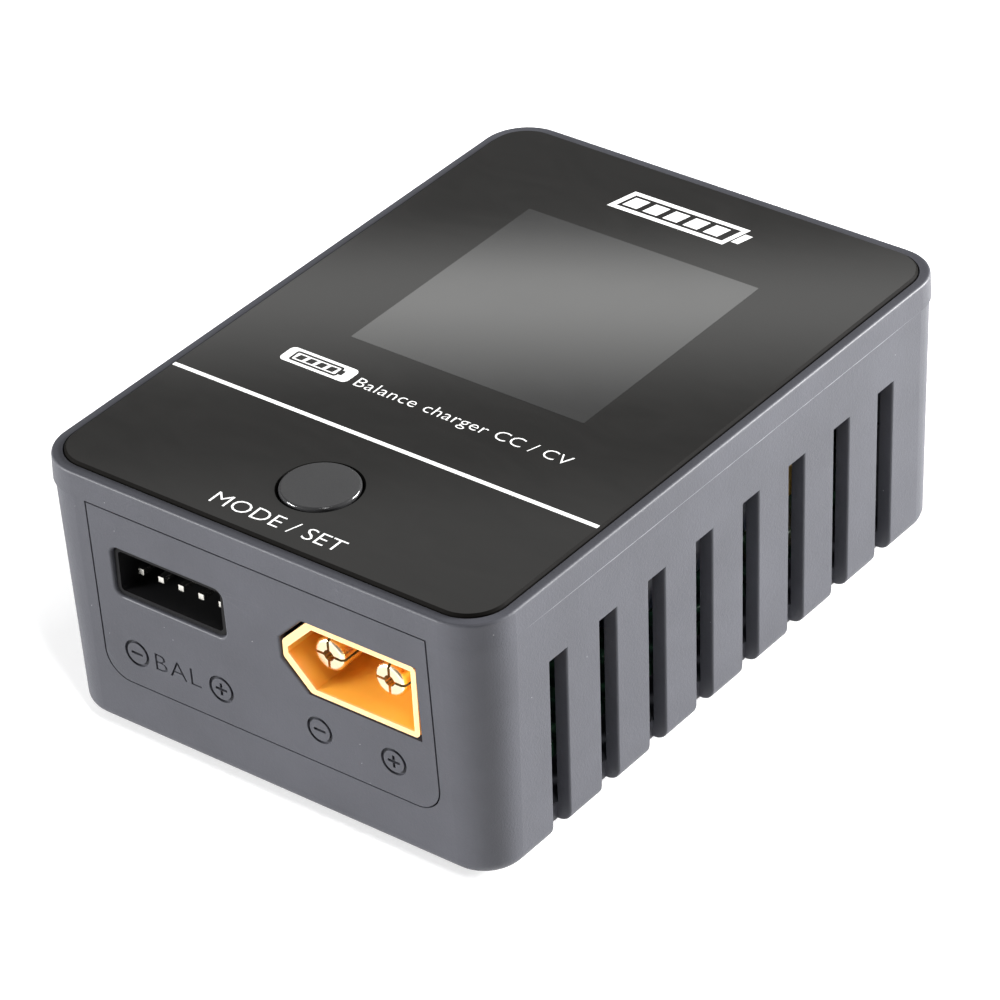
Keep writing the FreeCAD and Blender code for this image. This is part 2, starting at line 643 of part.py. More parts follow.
def make_top_cover():
    body = make_body("top_cover")
    outer = sketch_on(body, "CoverOutline", "XY_Plane", "seam_height")
    draw_rounded(outer, "0", "0", "case_width", "case_depth", "corner_radius")
    pad(body, outer, "rim_top - seam_height", taper="0 - draft_angle")
    dress(body, "PartDesign::Fillet", "Radius", "rim_fillet", at_height("rim_top"))
    recess = sketch_on(body, "FaceplateRecess", "XY_Plane", "rim_top")
    draw_rounded(recess, "0", "0", "faceplate_width + 2 * faceplate_gap",
                 "faceplate_depth + 2 * faceplate_gap", "faceplate_corner + faceplate_gap")
    pocket(body, recess, "rim_top - recess_floor")
    cavity_width = "(case_width - 2 * seam_step - 2 * wall)"
    cavity_depth = "(case_depth - 2 * seam_step - 2 * wall)"
    under = sketch_on(body, "CoverCavity", "XY_Plane", "seam_height")
    draw_rounded(under, "0", "0", cavity_width, cavity_depth, "corner_radius - wall")
    pocket(body, under, "plate_under - seam_height", reverse=True)

    tongue = sketch_on(body, "Tongue", "XY_Plane", "plate_under")
    draw_rounded(tongue, "0", "0", f"{cavity_width} - 2 * tongue_gap",
                 f"{cavity_depth} - 2 * tongue_gap", "corner_radius - wall - tongue_gap")
    inset = "2 * (tongue_gap + tongue_wall)"
    draw_rounded(tongue, "0", "0", f"{cavity_width} - {inset}",
                 f"{cavity_depth} - {inset}", "corner_radius - wall - tongue_gap - tongue_wall")
    pad(body, tongue, "plate_under - tongue_bottom", downward=True)
    bosses = sketch_on(body, "ScrewBosses", "XY_Plane", "plate_under")
    draw_corner_circles(bosses, "post_x", "post_y", "boss_radius")
    pad(body, bosses, "plate_under - post_top - boss_gap", downward=True)
    pilots = sketch_on(body, "BossHoles", "XY_Plane", "post_top + boss_gap")
    draw_corner_circles(pilots, "post_x", "post_y", "boss_hole_radius")
    pocket(body, pilots, "boss_hole_depth", reverse=True)
    standoffs = sketch_on(body, "BoardStandoffs", "XY_Plane", "plate_under")
    draw_charger_screws(standoffs, "standoff_radius")
    board_top = "(charger_board_bottom + board_thickness)"
    pad(body, standoffs, f"plate_under - {board_top}", downward=True)
    holes = sketch_on(body, "StandoffHoles", "XY_Plane", board_top)
    draw_charger_screws(holes, "board_screw_radius")
    pocket(body, holes, "charger_screw_length - board_thickness", reverse=True)

    window = sketch_on(body, "DisplayOpening", "XY_Plane", "rim_top")
    draw_rectangle(window, "0", "display_y", "display_width + 2 * display_gap",
                   "display_depth + 2 * display_gap")
    pocket(body, window, "rim_top - plate_under")
    hole = sketch_on(body, "ButtonHole", "XY_Plane", "rim_top")
    draw_circle(hole, "0", "button_y", "button_hole_radius")
    pocket(body, hole, "rim_top - plate_under")


def draw_charger_screws(sketch, radius):
    for across in (-1, 1):
        for along in ("charger_screw_front", "charger_screw_rear"):
            draw_circle(sketch, f"{across} * charger_screw_x", along, radius)


def make_faceplate():
    body = make_body("faceplate")
    base = "recess_floor + tape_thickness"
    outline = sketch_on(body, "FaceplateOutline", "XY_Plane", base)
    draw_rounded(outline, "0", "0", "faceplate_width", "faceplate_depth", "faceplate_corner")
    draw_circle(outline, "0", "button_y", "faceplate_hole_radius")
    pad(body, outline, f"faceplate_top - ({base})")
    dress(body, "PartDesign::Chamfer", "Size", "faceplate_edge", is_plate_outline)
    dress(body, "PartDesign::Chamfer", "Size", "faceplate_hole_edge", is_plate_hole)


def is_plate_top(edge):
    return abs(edge.BoundBox.ZMin - value("faceplate_top")) < NEAR


def is_plate_outline(edge):
    """The plate's upper outline, and not the rim of its button hole."""
    return is_plate_top(edge) and len(edge.Vertexes) > 1


def is_plate_hole(edge):
    return is_plate_top(edge) and len(edge.Vertexes) == 1


def make_faceplate_tape():
    body = make_body("faceplate_tape")
    outline = sketch_on(body, "TapeOutline", "XY_Plane", "recess_floor")
    draw_rounded(outline, "0", "0", "faceplate_width - 2 * tape_margin",
                 "faceplate_depth - 2 * tape_margin", "faceplate_corner - tape_margin")
    draw_rectangle(outline, "0", "display_y", "display_width + 2 * display_gap",
                   "display_depth + 2 * display_gap")
    draw_circle(outline, "0", "button_y", "button_hole_radius + tape_margin")
    pad(body, outline, "tape_thickness")


def make_panel(label, side):
    """A blank panel that fills the rebate of its wall up to the cover."""
    body = make_body(label)
    outline = panel_sketch(body, f"{label}Outline", side)
    draw_panel_outline(outline, "0")
    pad(body, outline, "panel_thickness", downward=side < 0)
    trim = sketch_on(body, f"{label}Trim", "XY_Plane", "seam_height - panel_top_gap")
    draw_rectangle(trim, "0", "0", "case_width", "case_depth + panel_cut")
    pocket(body, trim, "panel_cut", reverse=True)
    return body


def make_front_panel():
    body = make_panel("front_panel", -1)
    mouth = sketch_on(body, "BalanceMouth", "XZ_Plane", "case_depth / 2")
    draw_rounded(mouth, "balance_x", "balance_z", "balance_opening_width",
                 "balance_opening_height", "balance_opening_corner")
    pocket(body, mouth, "panel_cut")
    mouth = sketch_on(body, "BatteryMouth", "XZ_Plane", "case_depth / 2")
    draw_battery_outline(mouth, "opening_gap")
    pocket(body, mouth, "panel_cut")
    dress(body, "PartDesign::Fillet", "Radius", "opening_round", is_mouth_edge)


def is_mouth_edge(edge):
    """The edges round the connector openings in the outer face of the front panel."""
    box = edge.BoundBox
    across = max(abs(box.XMin), abs(box.XMax)) < value("panel_width / 2 - panel_corner")
    level = box.ZMin > value("panel_bottom + panel_corner")
    below = box.ZMax < value("seam_height - 2 * panel_top_gap")
    return across and level and below and box.YMax < value("battery_face")


def make_rear_panel():
    body = make_panel("rear_panel", 1)
    mouth = sketch_on(body, "InletMouth", "XZ_Plane", "0 - case_depth / 2")
    draw_rounded(mouth, "0", "inlet_z", "inlet_width + 2 * opening_gap",
                 "inlet_height + 2 * opening_gap", "inlet_edge + opening_gap")
    pocket(body, mouth, "panel_cut", reverse=True)


def make_case_screws():
    screws = []
    for index, (across, along) in enumerate(CORNERS):
        x, y = f"{across} * post_x", f"{along} * post_y"
        head = rod(f"CaseScrewHead{index}", "screw_head_radius", "screw_head_height",
                   (x, y, "counterbore_top - screw_head_height"))
        shank = rod(f"CaseScrewShank{index}", "screw_shank_radius", "screw_shank_length",
                    (x, y, "counterbore_top"))
        screws.append(fuse(f"CaseScrew{index}", [head, shank]))
    group("case_screws", screws)


def make_rubber_feet():
    feet = []
    for index, (across, along) in enumerate(CORNERS):
        start = (f"{across} * foot_x", f"{along} * foot_y", "0")
        disc = rod(f"FootDisc{index}", "foot_radius", "case_bottom + foot_recess", start)
        feet.append(round_edges(f"Foot{index}", disc, "foot_edge", is_on_ground))
    group("rubber_feet", feet)


def is_on_ground(edge):
    return edge.BoundBox.ZMax < NEAR


# ---------------------------------------------------------------- display and button

def make_display():
    size = ("display_width", "display_depth", "display_top - display_bottom")
    low = ("0 - display_width / 2", "display_y - display_depth / 2", "display_bottom")
    block("display_panel", size, low)

    body = make_body("display_holder")
    base = "(charger_board_bottom + board_thickness)"
    width = "display_width + 2 * holder_gap"
    depth = "display_depth + 2 * holder_gap"
    outline = sketch_on(body, "HolderOutline", "XY_Plane", base)
    draw_rectangle(outline, "0", "display_y", width, depth)
    pad(body, outline, f"display_bottom - {base}")
    hollow = sketch_on(body, "HolderHollow", "XY_Plane", "display_bottom")
    draw_rectangle(hollow, "0", "display_y", f"{width} - 2 * holder_wall",
                   f"{depth} - 2 * holder_wall")
    pocket(body, hollow, f"display_bottom - {base} - holder_wall / 2")


def make_ribbon():
    """The flexible ribbon from under the display to its connector on the board."""
    base = "(charger_board_bottom + board_thickness)"
    front = "(display_y - display_depth / 2 - holder_gap)"
    size = ("ribbon_width", "ribbon_length", "ribbon_thickness")
    corner = ("0 - ribbon_width / 2", f"{front} - ribbon_length - ribbon_gap",
              f"{base} + ribbon_lift")
    block("display_ribbon", size, corner)


def make_button_cap():
    """A turned cap: crown through the cover, flange under it, stem on the switch."""
    body = make_body("button_cap")
    profile = sketch_on(body, "ButtonProfile", "XZ_Plane", "0 - button_y")
    draw_polygon(profile, [
        ("0", "plunger_top"),
        ("button_stem_radius", "plunger_top"),
        ("button_stem_radius", "button_flange_bottom"),
        ("button_flange_radius", "button_flange_bottom"),
        ("button_flange_radius", "button_flange_top"),
        ("button_radius", "button_flange_top"),
        ("button_radius", "button_top"),
        ("0", "button_top"),
    ])
    turned = body.newObject("PartDesign::Revolution", "ButtonTurning")
    turned.Profile = profile
    turned.ReferenceAxis = (profile, ["V_Axis"])
    turned.Angle = 360
    doc.recompute()
    dress(body, "PartDesign::Fillet", "Radius", "button_edge", at_height("button_top"))


def make_switch():
    base = "(charger_board_bottom + board_thickness)"
    half = "switch_size / 2"
    housing = block("SwitchBlock", ("switch_size", "switch_size", f"switch_top - {base}"),
                    (f"0 - {half}", f"button_y - {half}", base))
    well = rod("SwitchWell", "switch_well_radius", "switch_top - switch_well_bottom",
               ("0", "button_y", "switch_well_bottom"))
    cut("switch_housing", housing, well)
    rod("switch_plunger", "plunger_radius", "plunger_top - plunger_bottom",
        ("0", "button_y", "plunger_bottom"))


# ---------------------------------------------------------------- boards

def make_board(label, bottom):
    """A circuit board with its corners cut out round the screw posts."""
    body = make_body(label)
    half_width, half_depth = "(board_width / 2)", "(board_depth / 2)"
    in_width, in_depth = f"({half_width} - board_notch)", f"({half_depth} - board_notch)"
    points = []
    for across, along in CORNERS:
        near = (f"{across} * {in_width}", f"{along} * {half_depth}")
        inner = (f"{across} * {in_width}", f"{along} * {in_depth}")
        far = (f"{across} * {half_width}", f"{along} * {in_depth}")
        points += [far, inner, near] if across * along > 0 else [near, inner, far]
    outline = sketch_on(body, f"{label}Outline", "XY_Plane", bottom)
    draw_polygon(outline, points)
    pad(body, outline, "board_thickness")
    return body


def make_charger_board():
    body = make_board("charger_board", "charger_board_bottom")
    holes = sketch_on(body, "ChargerHoles", "XY_Plane", "charger_board_bottom")
    draw_charger_screws(holes, "board_hole_radius")
    pocket(body, holes, "board_thickness", reverse=True)
    screws = []
    for across in (-1, 1):
        for along in ("charger_screw_front", "charger_screw_rear"):
            x = f"{across} * charger_screw_x"
            tag = f"{across + 1}{along[14:]}"
            head = rod(f"ChargerScrewHead{tag}", "board_screw_head_radius",
                       "board_screw_head_height",
                       (x, along, "charger_board_bottom - board_screw_head_height"))
            shank = rod(f"ChargerScrewShank{tag}", "board_screw_radius",
                        "charger_screw_length", (x, along, "charger_board_bottom"))
            screws.append(fuse(f"ChargerScrew{tag}", [head, shank]))
    group("charger_board_screws", screws)


def make_supply_board():
    body = make_board("supply_board", "supply_board_bottom")
    holes = sketch_on(body, "SupplyHoles", "XY_Plane", "supply_board_bottom")
    draw_corner_circles(holes, "supply_screw_x", "supply_screw_y", "board_hole_radius")
    pocket(body, holes, "board_thickness", reverse=True)
    top = "(supply_board_bottom + board_thickness)"
    screws = []
    for index, (across, along) in enumerate(CORNERS):
        x, y = f"{across} * supply_screw_x", f"{along} * supply_screw_y"
        head = rod(f"SupplyScrewHead{index}", "board_screw_head_radius",
                   "board_screw_head_height", (x, y, top))
        shank = rod(f"SupplyScrewShank{index}", "board_screw_radius", "supply_screw_length",
                    (x, y, f"{top} - supply_screw_length"))
        screws.append(fuse(f"SupplyScrew{index}", [head, shank]))
    group("supply_board_screws", screws)
    block("insulating_sheet", ("sheet_width", "sheet_depth", "sheet_thickness"),
          ("0 - sheet_width / 2", "0 - sheet_depth / 2", "floor_top"))


LEVELS = {
    "charger_top": ("(charger_board_bottom + board_thickness)", 0),
    "charger_under": ("charger_board_bottom", 1),
    "supply_top": ("(supply_board_bottom + board_thickness)", 0),
}


def component(name, stem, x, y, face):
    """A block that sits on, or hangs from, a face of a board; stem names its cells."""
    level, hangs = LEVELS[face]
    size = (f"{stem}_width", f"{stem}_depth", f"{stem}_height")
    low = (f"{x} - {stem}_width / 2", f"{y} - {stem}_depth / 2", f"{level} - {hangs} * {size[2]}")
    return block(name, size, low)


def make_components():
    for name, *_, face in BLOCKS:
        body = component(f"{name}_block", name, f"{name}_x", f"{name}_y", face)
        round_edges(name, body, "edge_round", is_upright)
    for name, *_, face in BLOCK_ROWS:
        items = []
        for index in range(int(value(f"{name}_count"))):
            x = f"{name}_x + {index} * {name}_pitch"
            items.append(component(f"{name}_{index}", name, x, f"{name}_y", face))
        group(name, items)


def is_upright(edge):
    return edge.BoundBox.XLength < NEAR and edge.BoundBox.YLength < NEAR


# ---------------------------------------------------------------- connectors

def battery_outline(grow):
    """Corners of the keyed outline, grown all round, seen from the front."""
    half_width = f"(battery_width / 2 + {grow})"
    half_height = f"(battery_height / 2 + {grow})"
    left, right = f"battery_x - {half_width}", f"battery_x + {half_width}"
    low, high = f"battery_z - {half_height}", f"battery_z + {half_height}"
    return [
        (f"{left} + battery_chamfer_x", low),
        (right, low),
        (right, high),
        (f"{left} + battery_chamfer_x", high),
        (left, f"{high} - battery_chamfer_z"),
        (left, f"{low} + battery_chamfer_z"),
    ]


def draw_battery_outline(sketch, grow):
    draw_polygon(sketch, battery_outline(grow))


def is_near_front(edge):
    """The tip circle of a battery pin."""
    return edge.BoundBox.YMax < value("battery_face + battery_pin_setback") + NEAR


def is_along_depth(edge):
    box = edge.BoundBox
    return box.XLength < NEAR and box.ZLength < NEAR


def make_battery_connector():
    body = make_body("battery_connector_shell")
    outline = sketch_on(body, "ShellOutline", "XZ_Plane", "0 - battery_face")
    draw_battery_outline(outline, "0")
    pad(body, outline, "battery_length", downward=True)
    dress(body, "PartDesign::Fillet", "Radius", "battery_round", is_along_depth)
    cavity = sketch_on(body, "ShellCavity", "XZ_Plane", "0 - battery_face")
    draw_battery_outline(cavity, "(0 - battery_wall)")
    pocket(body, cavity, "battery_cavity")
    holes = sketch_on(body, "ShellPinHoles", "XZ_Plane", "0 - battery_face")
    for side in (-1, 1):
        middle = f"battery_x + {side} * battery_pitch / 2"
        draw_circle(holes, middle, "battery_z", "battery_pin_radius")
    pocket(body, holes, "battery_length")

    pins = []
    tip = "(battery_face + battery_pin_setback)"
    back = "(battery_face + battery_length)"
    for side, name in ((-1, "Negative"), (1, "Positive")):
        x = f"battery_x + {side} * battery_pitch / 2"
        barrel = rod(f"{name}Barrel", "battery_pin_radius", f"{back} - {tip}",
                     (x, tip, "battery_z"), "y")
        bore = rod(f"{name}Bore", "battery_pin_bore", "battery_pin_slot_length",
                   (x, tip, "battery_z"), "y")
        width = "2 * (battery_pin_radius + battery_pin_clearance)"
        level = block(f"{name}LevelSlot", (width, "battery_pin_slot_length", "battery_pin_slot"),
                      (f"{x} - ({width}) / 2", tip, "battery_z - battery_pin_slot / 2"))
        upright = block(f"{name}UprightSlot",
                        ("battery_pin_slot", "battery_pin_slot_length", width),
                        (f"{x} - battery_pin_slot / 2", tip, f"battery_z - ({width}) / 2"))
        hollow = fuse(f"{name}Hollow", [bore, level, upright])
        tail = rod(f"{name}Tail", "battery_tail_radius", "battery_tail_length",
                   (x, back, "battery_z"), "y")
        leg_y = f"{back} + battery_tail_length - battery_tail_radius"
        leg = rod(f"{name}Leg", "battery_tail_radius", "charger_board_bottom - battery_z",
                  (x, leg_y, "battery_z"))
        barrel = round_edges(f"{name}Tip", barrel, "battery_pin_round", is_near_front)
        body_of_pin = cut(f"{name}Pin", barrel, hollow)
        pins.append(fuse(f"{name}Terminal", [body_of_pin, tail, leg]))
    group("battery_connector_pins", pins)


def make_balance_socket():
    body = make_body("balance_socket_shroud")
    outline = sketch_on(body, "ShroudOutline", "XZ_Plane", "0 - balance_face")
    draw_rounded(outline, "balance_x", "balance_z", "balance_width", "balance_height",
                 "balance_corner")
    pad(body, outline, "balance_length", downward=True)
    cavity = sketch_on(body, "ShroudCavity", "XZ_Plane", "0 - balance_face")
    draw_rounded(cavity, "balance_x", "balance_z", "balance_width - 2 * balance_wall",
                 "balance_height - 2 * balance_wall", "balance_corner - balance_wall")
    pocket(body, cavity, "balance_cavity")
    holes = sketch_on(body, "ShroudPinHoles", "XZ_Plane", "0 - balance_face")
    pins = []
    for index in range(int(value("balance_pin_count"))):
        x = f"(balance_x + ({index} - (balance_pin_count - 1) / 2) * balance_pitch)"
        draw_rectangle(holes, x, "balance_pin_z", "balance_pin", "balance_pin")
        left, low = f"{x} - balance_pin / 2", "(balance_pin_z - balance_pin / 2)"
        level = block(f"BalancePin{index}",
                      ("balance_pin", "balance_pin_back - balance_pin_tip", "balance_pin"),
                      (left, "balance_pin_tip", low))
        leg = block(f"BalanceLeg{index}",
                    ("balance_pin", "balance_pin", f"charger_board_bottom - {low}"),
                    (left, "balance_pin_back", low))
        pins.append(fuse(f"BalanceTerminal{index}", [level, leg]))
    pocket(body, holes, "balance_length")
    group("balance_socket_pins", pins)


def make_mains_inlet():
    body = make_body("mains_inlet_body")
    outline = sketch_on(body, "InletOutline", "XZ_Plane", "0 - inlet_face")
    draw_rounded(outline, "0", "inlet_z", "inlet_width", "inlet_height", "inlet_edge")
    pad(body, outline, "inlet_length")
    cavity = sketch_on(body, "InletCavity", "XZ_Plane", "0 - inlet_face")
    draw_rounded(cavity, "0", "inlet_z", "inlet_cavity_width", "inlet_cavity_height",
                 "inlet_cavity_corner")
    pocket(body, cavity, "inlet_cavity_depth", reverse=True)
    holes = sketch_on(body, "InletPinHoles", "XZ_Plane", "0 - inlet_face")
    pins = []
    back = "(inlet_face - inlet_length - inlet_tail)"
    board_top = "(supply_board_bottom + board_thickness)"
    for side, name in ((-1, "Left"), (1, "Right")):
        x = f"{side} * inlet_pitch / 2"
        draw_circle(holes, x, "inlet_z", "inlet_pin_radius")
        pin = rod(f"{name}InletRod", "inlet_pin_radius",
                  f"inlet_face - inlet_pin_setback - {back}", (x, back, "inlet_z"), "y")
        pin = round_edges(f"{name}InletPin", pin, "inlet_pin_round", ends_of("y"))
        leg_size = "inlet_tail"
        leg = block(f"{name}InletLeg", (leg_size, f"{leg_size} / 2", f"inlet_z - {board_top}"),
                    (f"{x} - {leg_size} / 2", f"{back} + inlet_tail / 2", board_top))
        pins.append(fuse(f"{name}InletTerminal", [pin, leg]))
    pocket(body, holes, "inlet_length", reverse=True)
    group("mains_inlet_pins", pins)


# ---------------------------------------------------------------- supply parts

def make_transformer():
    low_y = "(0 - core_depth / 2)"
    whole = block("CoreBlock", ("core_width", "core_depth", "core_height"),
                  ("0 - core_width / 2", low_y, "transformer_z - core_height / 2"))
    windows = []
    for side, name in ((-1, "Left"), (1, "Right")):
        middle = f"{side} * (core_leg + core_window_width) / 2"
        windows.append(block(
            f"{name}CoreWindow", ("core_window_width", "core_window_depth", "core_height"),
            (f"{middle} - core_window_width / 2", "0 - core_window_depth / 2",
             "transformer_z - core_height / 2")))
    cut("transformer_core", whole, fuse("CoreWindows", windows))

    inner = "(core_leg + 2 * bobbin_leg_gap)"
    tube = f"({inner} + 2 * bobbin_wall)"
    length = "(core_window_depth - 2 * bobbin_leg_gap)"
    flange_y = f"({length} / 2 - bobbin_flange)"

    def centred(name, width, depth, height, middle_y="0"):
        return block(name, (width, depth, height),
                     (f"0 - ({width}) / 2", f"{middle_y} - ({depth}) / 2",
                      f"transformer_z - ({height}) / 2"))

    sleeve = centred("BobbinSleeve", tube, length, tube)
    flanges = [centred(f"BobbinFlange{index}", "bobbin_flange_width", "bobbin_flange",
                       "bobbin_flange_height", f"{side} * ({flange_y} + bobbin_flange / 2)")
               for index, side in enumerate((-1, 1))]
    bore = centred("BobbinBore", inner, f"{length} + 2 * bobbin_flange", inner)
    cut("transformer_bobbin", fuse("BobbinBlank", [sleeve] + flanges), bore)

    coil = centred("WindingBlock", "winding_width", f"2 * {flange_y}", "winding_height")
    coil = round_edges("WindingRound", coil, "2 * bobbin_flange", is_along_y)
    cut("transformer_winding", coil, centred("WindingBore", tube, f"{length} + 2 * bobbin_flange", tube))


def is_along_y(edge):
    return edge.BoundBox.XLength < NEAR and edge.BoundBox.ZLength < NEAR


def make_choke():
    """A toroidal core on a base, with one wire ring for each turn of the winding."""
    core = doc.addObject("Part::Torus", "choke_core")
    bind(core, Radius1="choke_ring", Radius2="choke_core_radius")
    place(core, "choke_x", "choke_y", "choke_z")
    turns = []
    count = int(value("choke_turns"))
    for index in range(count):
        turn = doc.addObject("Part::Torus", f"ChokeTurn{index}")
        bind(turn, Radius1="choke_wire_ring", Radius2="choke_wire")
        angle = 2 * math.pi * (index + 0.5) / count
        spin = FreeCAD.Rotation(FreeCAD.Vector(0, 0, 1), math.degrees(angle))
        stand = FreeCAD.Rotation(FreeCAD.Vector(1, 0, 0), 90)
        turn.Placement = FreeCAD.Placement(FreeCAD.Vector(0, 0, 0), spin * stand)
        place(turn, f"choke_x + choke_ring * ({math.cos(angle):.6f})",
              f"choke_y + choke_ring * ({math.sin(angle):.6f})", "choke_z")
        turns.append(turn)
    group("choke_winding", turns)
    board_top = "(supply_board_bottom + board_thickness)"
    rod("choke_base", "choke_ring + choke_wire_ring", f"choke_base - {board_top}",
        ("choke_x", "choke_y", board_top))


def make_supply_rods():
    board_top = "(supply_board_bottom + board_thickness)"
    can = rod("BulkCan", "bulk_radius", "bulk_length",
              ("bulk_x", "bulk_front", f"{board_top} + bulk_radius"), "y")
    round_edges("bulk_capacitor", can, "bulk_bevel", ends_of("y"))
    cans = []
    for index in range(2):
        y = f"output_front + {index} * output_pitch"
        can = rod(f"OutputCan{index}", "output_radius", "output_length",
                  ("output_left", y, f"{board_top} + output_radius"), "x")
        cans.append(round_edges(f"OutputCapacitor{index}", can, "bulk_bevel", ends_of("x")))
    group("output_capacitors", cans)
    rod("mains_fuse", "fuse_radius", "fuse_length",
        ("fuse_x", "fuse_front", f"{board_top} + fuse_radius"), "y")
    disc = rod("DiscBlank", "disc_radius", "disc_thickness",
               ("disc_x - disc_thickness / 2", "disc_y", f"{board_top} + disc_radius"), "x")
    round_edges("safety_capacitor", disc, "2 * edge_round", ends_of("x"))
    wires = []
    for index in range(2):
        start = (f"link_x + {index} * link_pitch", "link_y", board_top)
        wires.append(rod(f"LinkWire{index}", "link_radius",
                         f"charger_board_bottom - {board_top}", start))
    group("link_wires", wires)
    plate = block("SinkPlate", ("sink_plate", "sink_length", "sink_height"),
                  ("sink_x", "sink_front", board_top))
    foot = block("SinkFoot", ("sink_foot", "sink_length / 4", "sink_plate"),
                 ("sink_x", "sink_front", board_top))
    fuse("supply_heat_sink", [plate, foot])


def make_charger_rods():
    cans = []
    for index in range(2):
        x = f"smd_capacitor_x + {index} * smd_capacitor_pitch"
        can = rod(f"ChargerCan{index}", "smd_capacitor_radius", "smd_capacitor_height",
                  (x, "smd_capacitor_y", "charger_board_bottom - smd_capacitor_height"))
        cans.append(round_edges(f"ChargerCapacitor{index}", can, "edge_round", ends_of("z")))
    group("charger_capacitors", cans)
    board_top = "(charger_board_bottom + board_thickness)"
    drum = rod("BuzzerDrum", "buzzer_radius", "buzzer_height", ("buzzer_x", "buzzer_y", board_top))
    hole = rod("BuzzerHole", "buzzer_hole", "buzzer_height / 2",
               ("buzzer_x", "buzzer_y", f"{board_top} + buzzer_height / 2"))
    cut("buzzer", drum, hole)


# ---------------------------------------------------------------- the whole charger

NODES = [
    "lower_case", "top_cover", "faceplate", "faceplate_tape", "front_panel", "rear_panel",
    "case_screws", "rubber_feet", "display_panel", "display_holder", "display_ribbon",
    "ribbon_connector", "button_cap", "switch_housing", "switch_plunger", "charger_board",
    "charger_board_screws", "microcontroller", "power_transistors", "power_inductor",
    "charger_capacitors", "balance_resistors", "buzzer", "battery_connector_shell",
    "battery_connector_pins", "balance_socket_shroud", "balance_socket_pins", "link_wires",
    "supply_board", "supply_board_screws", "insulating_sheet", "mains_inlet_body",
    "mains_inlet_pins", "mains_fuse", "filter_capacitor", "choke_core", "choke_winding",
    "choke_base", "safety_capacitor", "bridge_rectifier", "bulk_capacitor",
    "switching_transistor", "supply_heat_sink", "transformer_core", "transformer_bobbin",
    "transformer_winding", "output_rectifier", "optocoupler", "output_capacitors",
]


def fill_sheet():
    add_cells(DIMENSIONS)
    for name, *numbers, _ in BLOCKS:
        parts = ("width", "depth", "height", "x", "y")
        add_cells([(f"{name}_{part}", number, name) for part, number in zip(parts, numbers)])
    for name, *numbers, _ in BLOCK_ROWS:
        parts = ("width", "depth", "height", "x", "y", "count", "pitch")
        add_cells([(f"{name}_{part}", number, name) for part, number in zip(parts, numbers)])
    doc.recompute()


def build():
    fill_sheet()
    make_lower_case()
    make_top_cover()
    make_faceplate()
    make_faceplate_tape()
    make_front_panel()
    make_rear_panel()
    make_case_screws()
    make_rubber_feet()
    make_display()
    make_ribbon()
    make_button_cap()
    make_switch()
    make_charger_board()
    make_supply_board()
    make_components()
    make_battery_connector()
    make_balance_socket()
    make_mains_inlet()
    make_transformer()
    make_choke()
    make_supply_rods()
    make_charger_rods()
    doc.recompute()


def check():
    """Stop if a feature failed or a sub-part has no sound shape."""
    for item in doc.Objects:
        if "Invalid" in item.State or "Error" in item.State:
            raise ValueError(f"{item.Label} failed: {item.State}")
    for name in NODES:
        shape = find(name).Shape
        if shape.isNull() or not shape.isValid() or shape.Volume <= 0:
            raise ValueError(f"{name} has no valid solid")


def find(name):
    return doc.getObjectsByLabel(name)[0]


def export():
    os.makedirs("parts", exist_ok=True)
    for name in NODES:
        find(name).Shape.exportStep(os.path.join("parts", f"{name}.step"))


build()
check()
export()
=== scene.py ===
"""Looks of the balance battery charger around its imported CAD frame, in metres."""

import json
import math
import random

import bmesh
import bpy
from mathutils import Matrix, Vector


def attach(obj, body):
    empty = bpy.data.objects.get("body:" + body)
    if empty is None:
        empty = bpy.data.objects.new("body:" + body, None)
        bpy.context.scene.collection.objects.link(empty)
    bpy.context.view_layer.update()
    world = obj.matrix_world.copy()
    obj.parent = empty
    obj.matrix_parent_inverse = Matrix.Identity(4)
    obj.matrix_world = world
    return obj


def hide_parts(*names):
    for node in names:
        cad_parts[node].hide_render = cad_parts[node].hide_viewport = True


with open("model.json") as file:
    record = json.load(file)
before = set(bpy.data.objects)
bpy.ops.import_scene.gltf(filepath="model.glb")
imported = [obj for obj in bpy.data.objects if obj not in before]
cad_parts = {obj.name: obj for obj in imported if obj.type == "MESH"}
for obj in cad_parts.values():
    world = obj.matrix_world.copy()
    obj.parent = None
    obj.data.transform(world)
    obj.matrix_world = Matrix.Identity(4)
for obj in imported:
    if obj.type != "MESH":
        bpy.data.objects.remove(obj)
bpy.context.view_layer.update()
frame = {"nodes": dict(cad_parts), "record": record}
scene = bpy.context.scene
MM = 0.001
HOUSING = "housing"

# ---------------------------------------------------------------- camera

CAMERA_AZIMUTH = 39.43
CAMERA_ELEVATION = 33.99
CAMERA_ROLL = 3.5
CAMERA_DISTANCE = 0.4585
CAMERA_TARGET = Vector((0.01728, -0.02226, 0.03248))
CAMERA_LENS = 179.4


def make_camera():
    """The photograph's viewpoint: above the front right corner, with a long lens."""
    azimuth, elevation = math.radians(CAMERA_AZIMUTH), math.radians(CAMERA_ELEVATION)
    back = Vector((
        math.sin(azimuth) * math.cos(elevation),
        -math.cos(azimuth) * math.cos(elevation),
        math.sin(elevation),
    ))
    data = bpy.data.cameras.new("camera")
    data.lens = CAMERA_LENS
    data.sensor_width = 36
    data.clip_start, data.clip_end = 0.01, 10
    camera = bpy.data.objects.new("camera", data)
    scene.collection.objects.link(camera)
    turn = (-back).to_track_quat("-Z", "Y").to_matrix()
    roll = Matrix.Rotation(math.radians(-CAMERA_ROLL), 3, "Z")
    camera.matrix_world = Matrix.LocRotScale(
        CAMERA_TARGET + back * CAMERA_DISTANCE, (turn @ roll).to_quaternion(), None)
    scene.camera = camera


# ---------------------------------------------------------------- node helpers

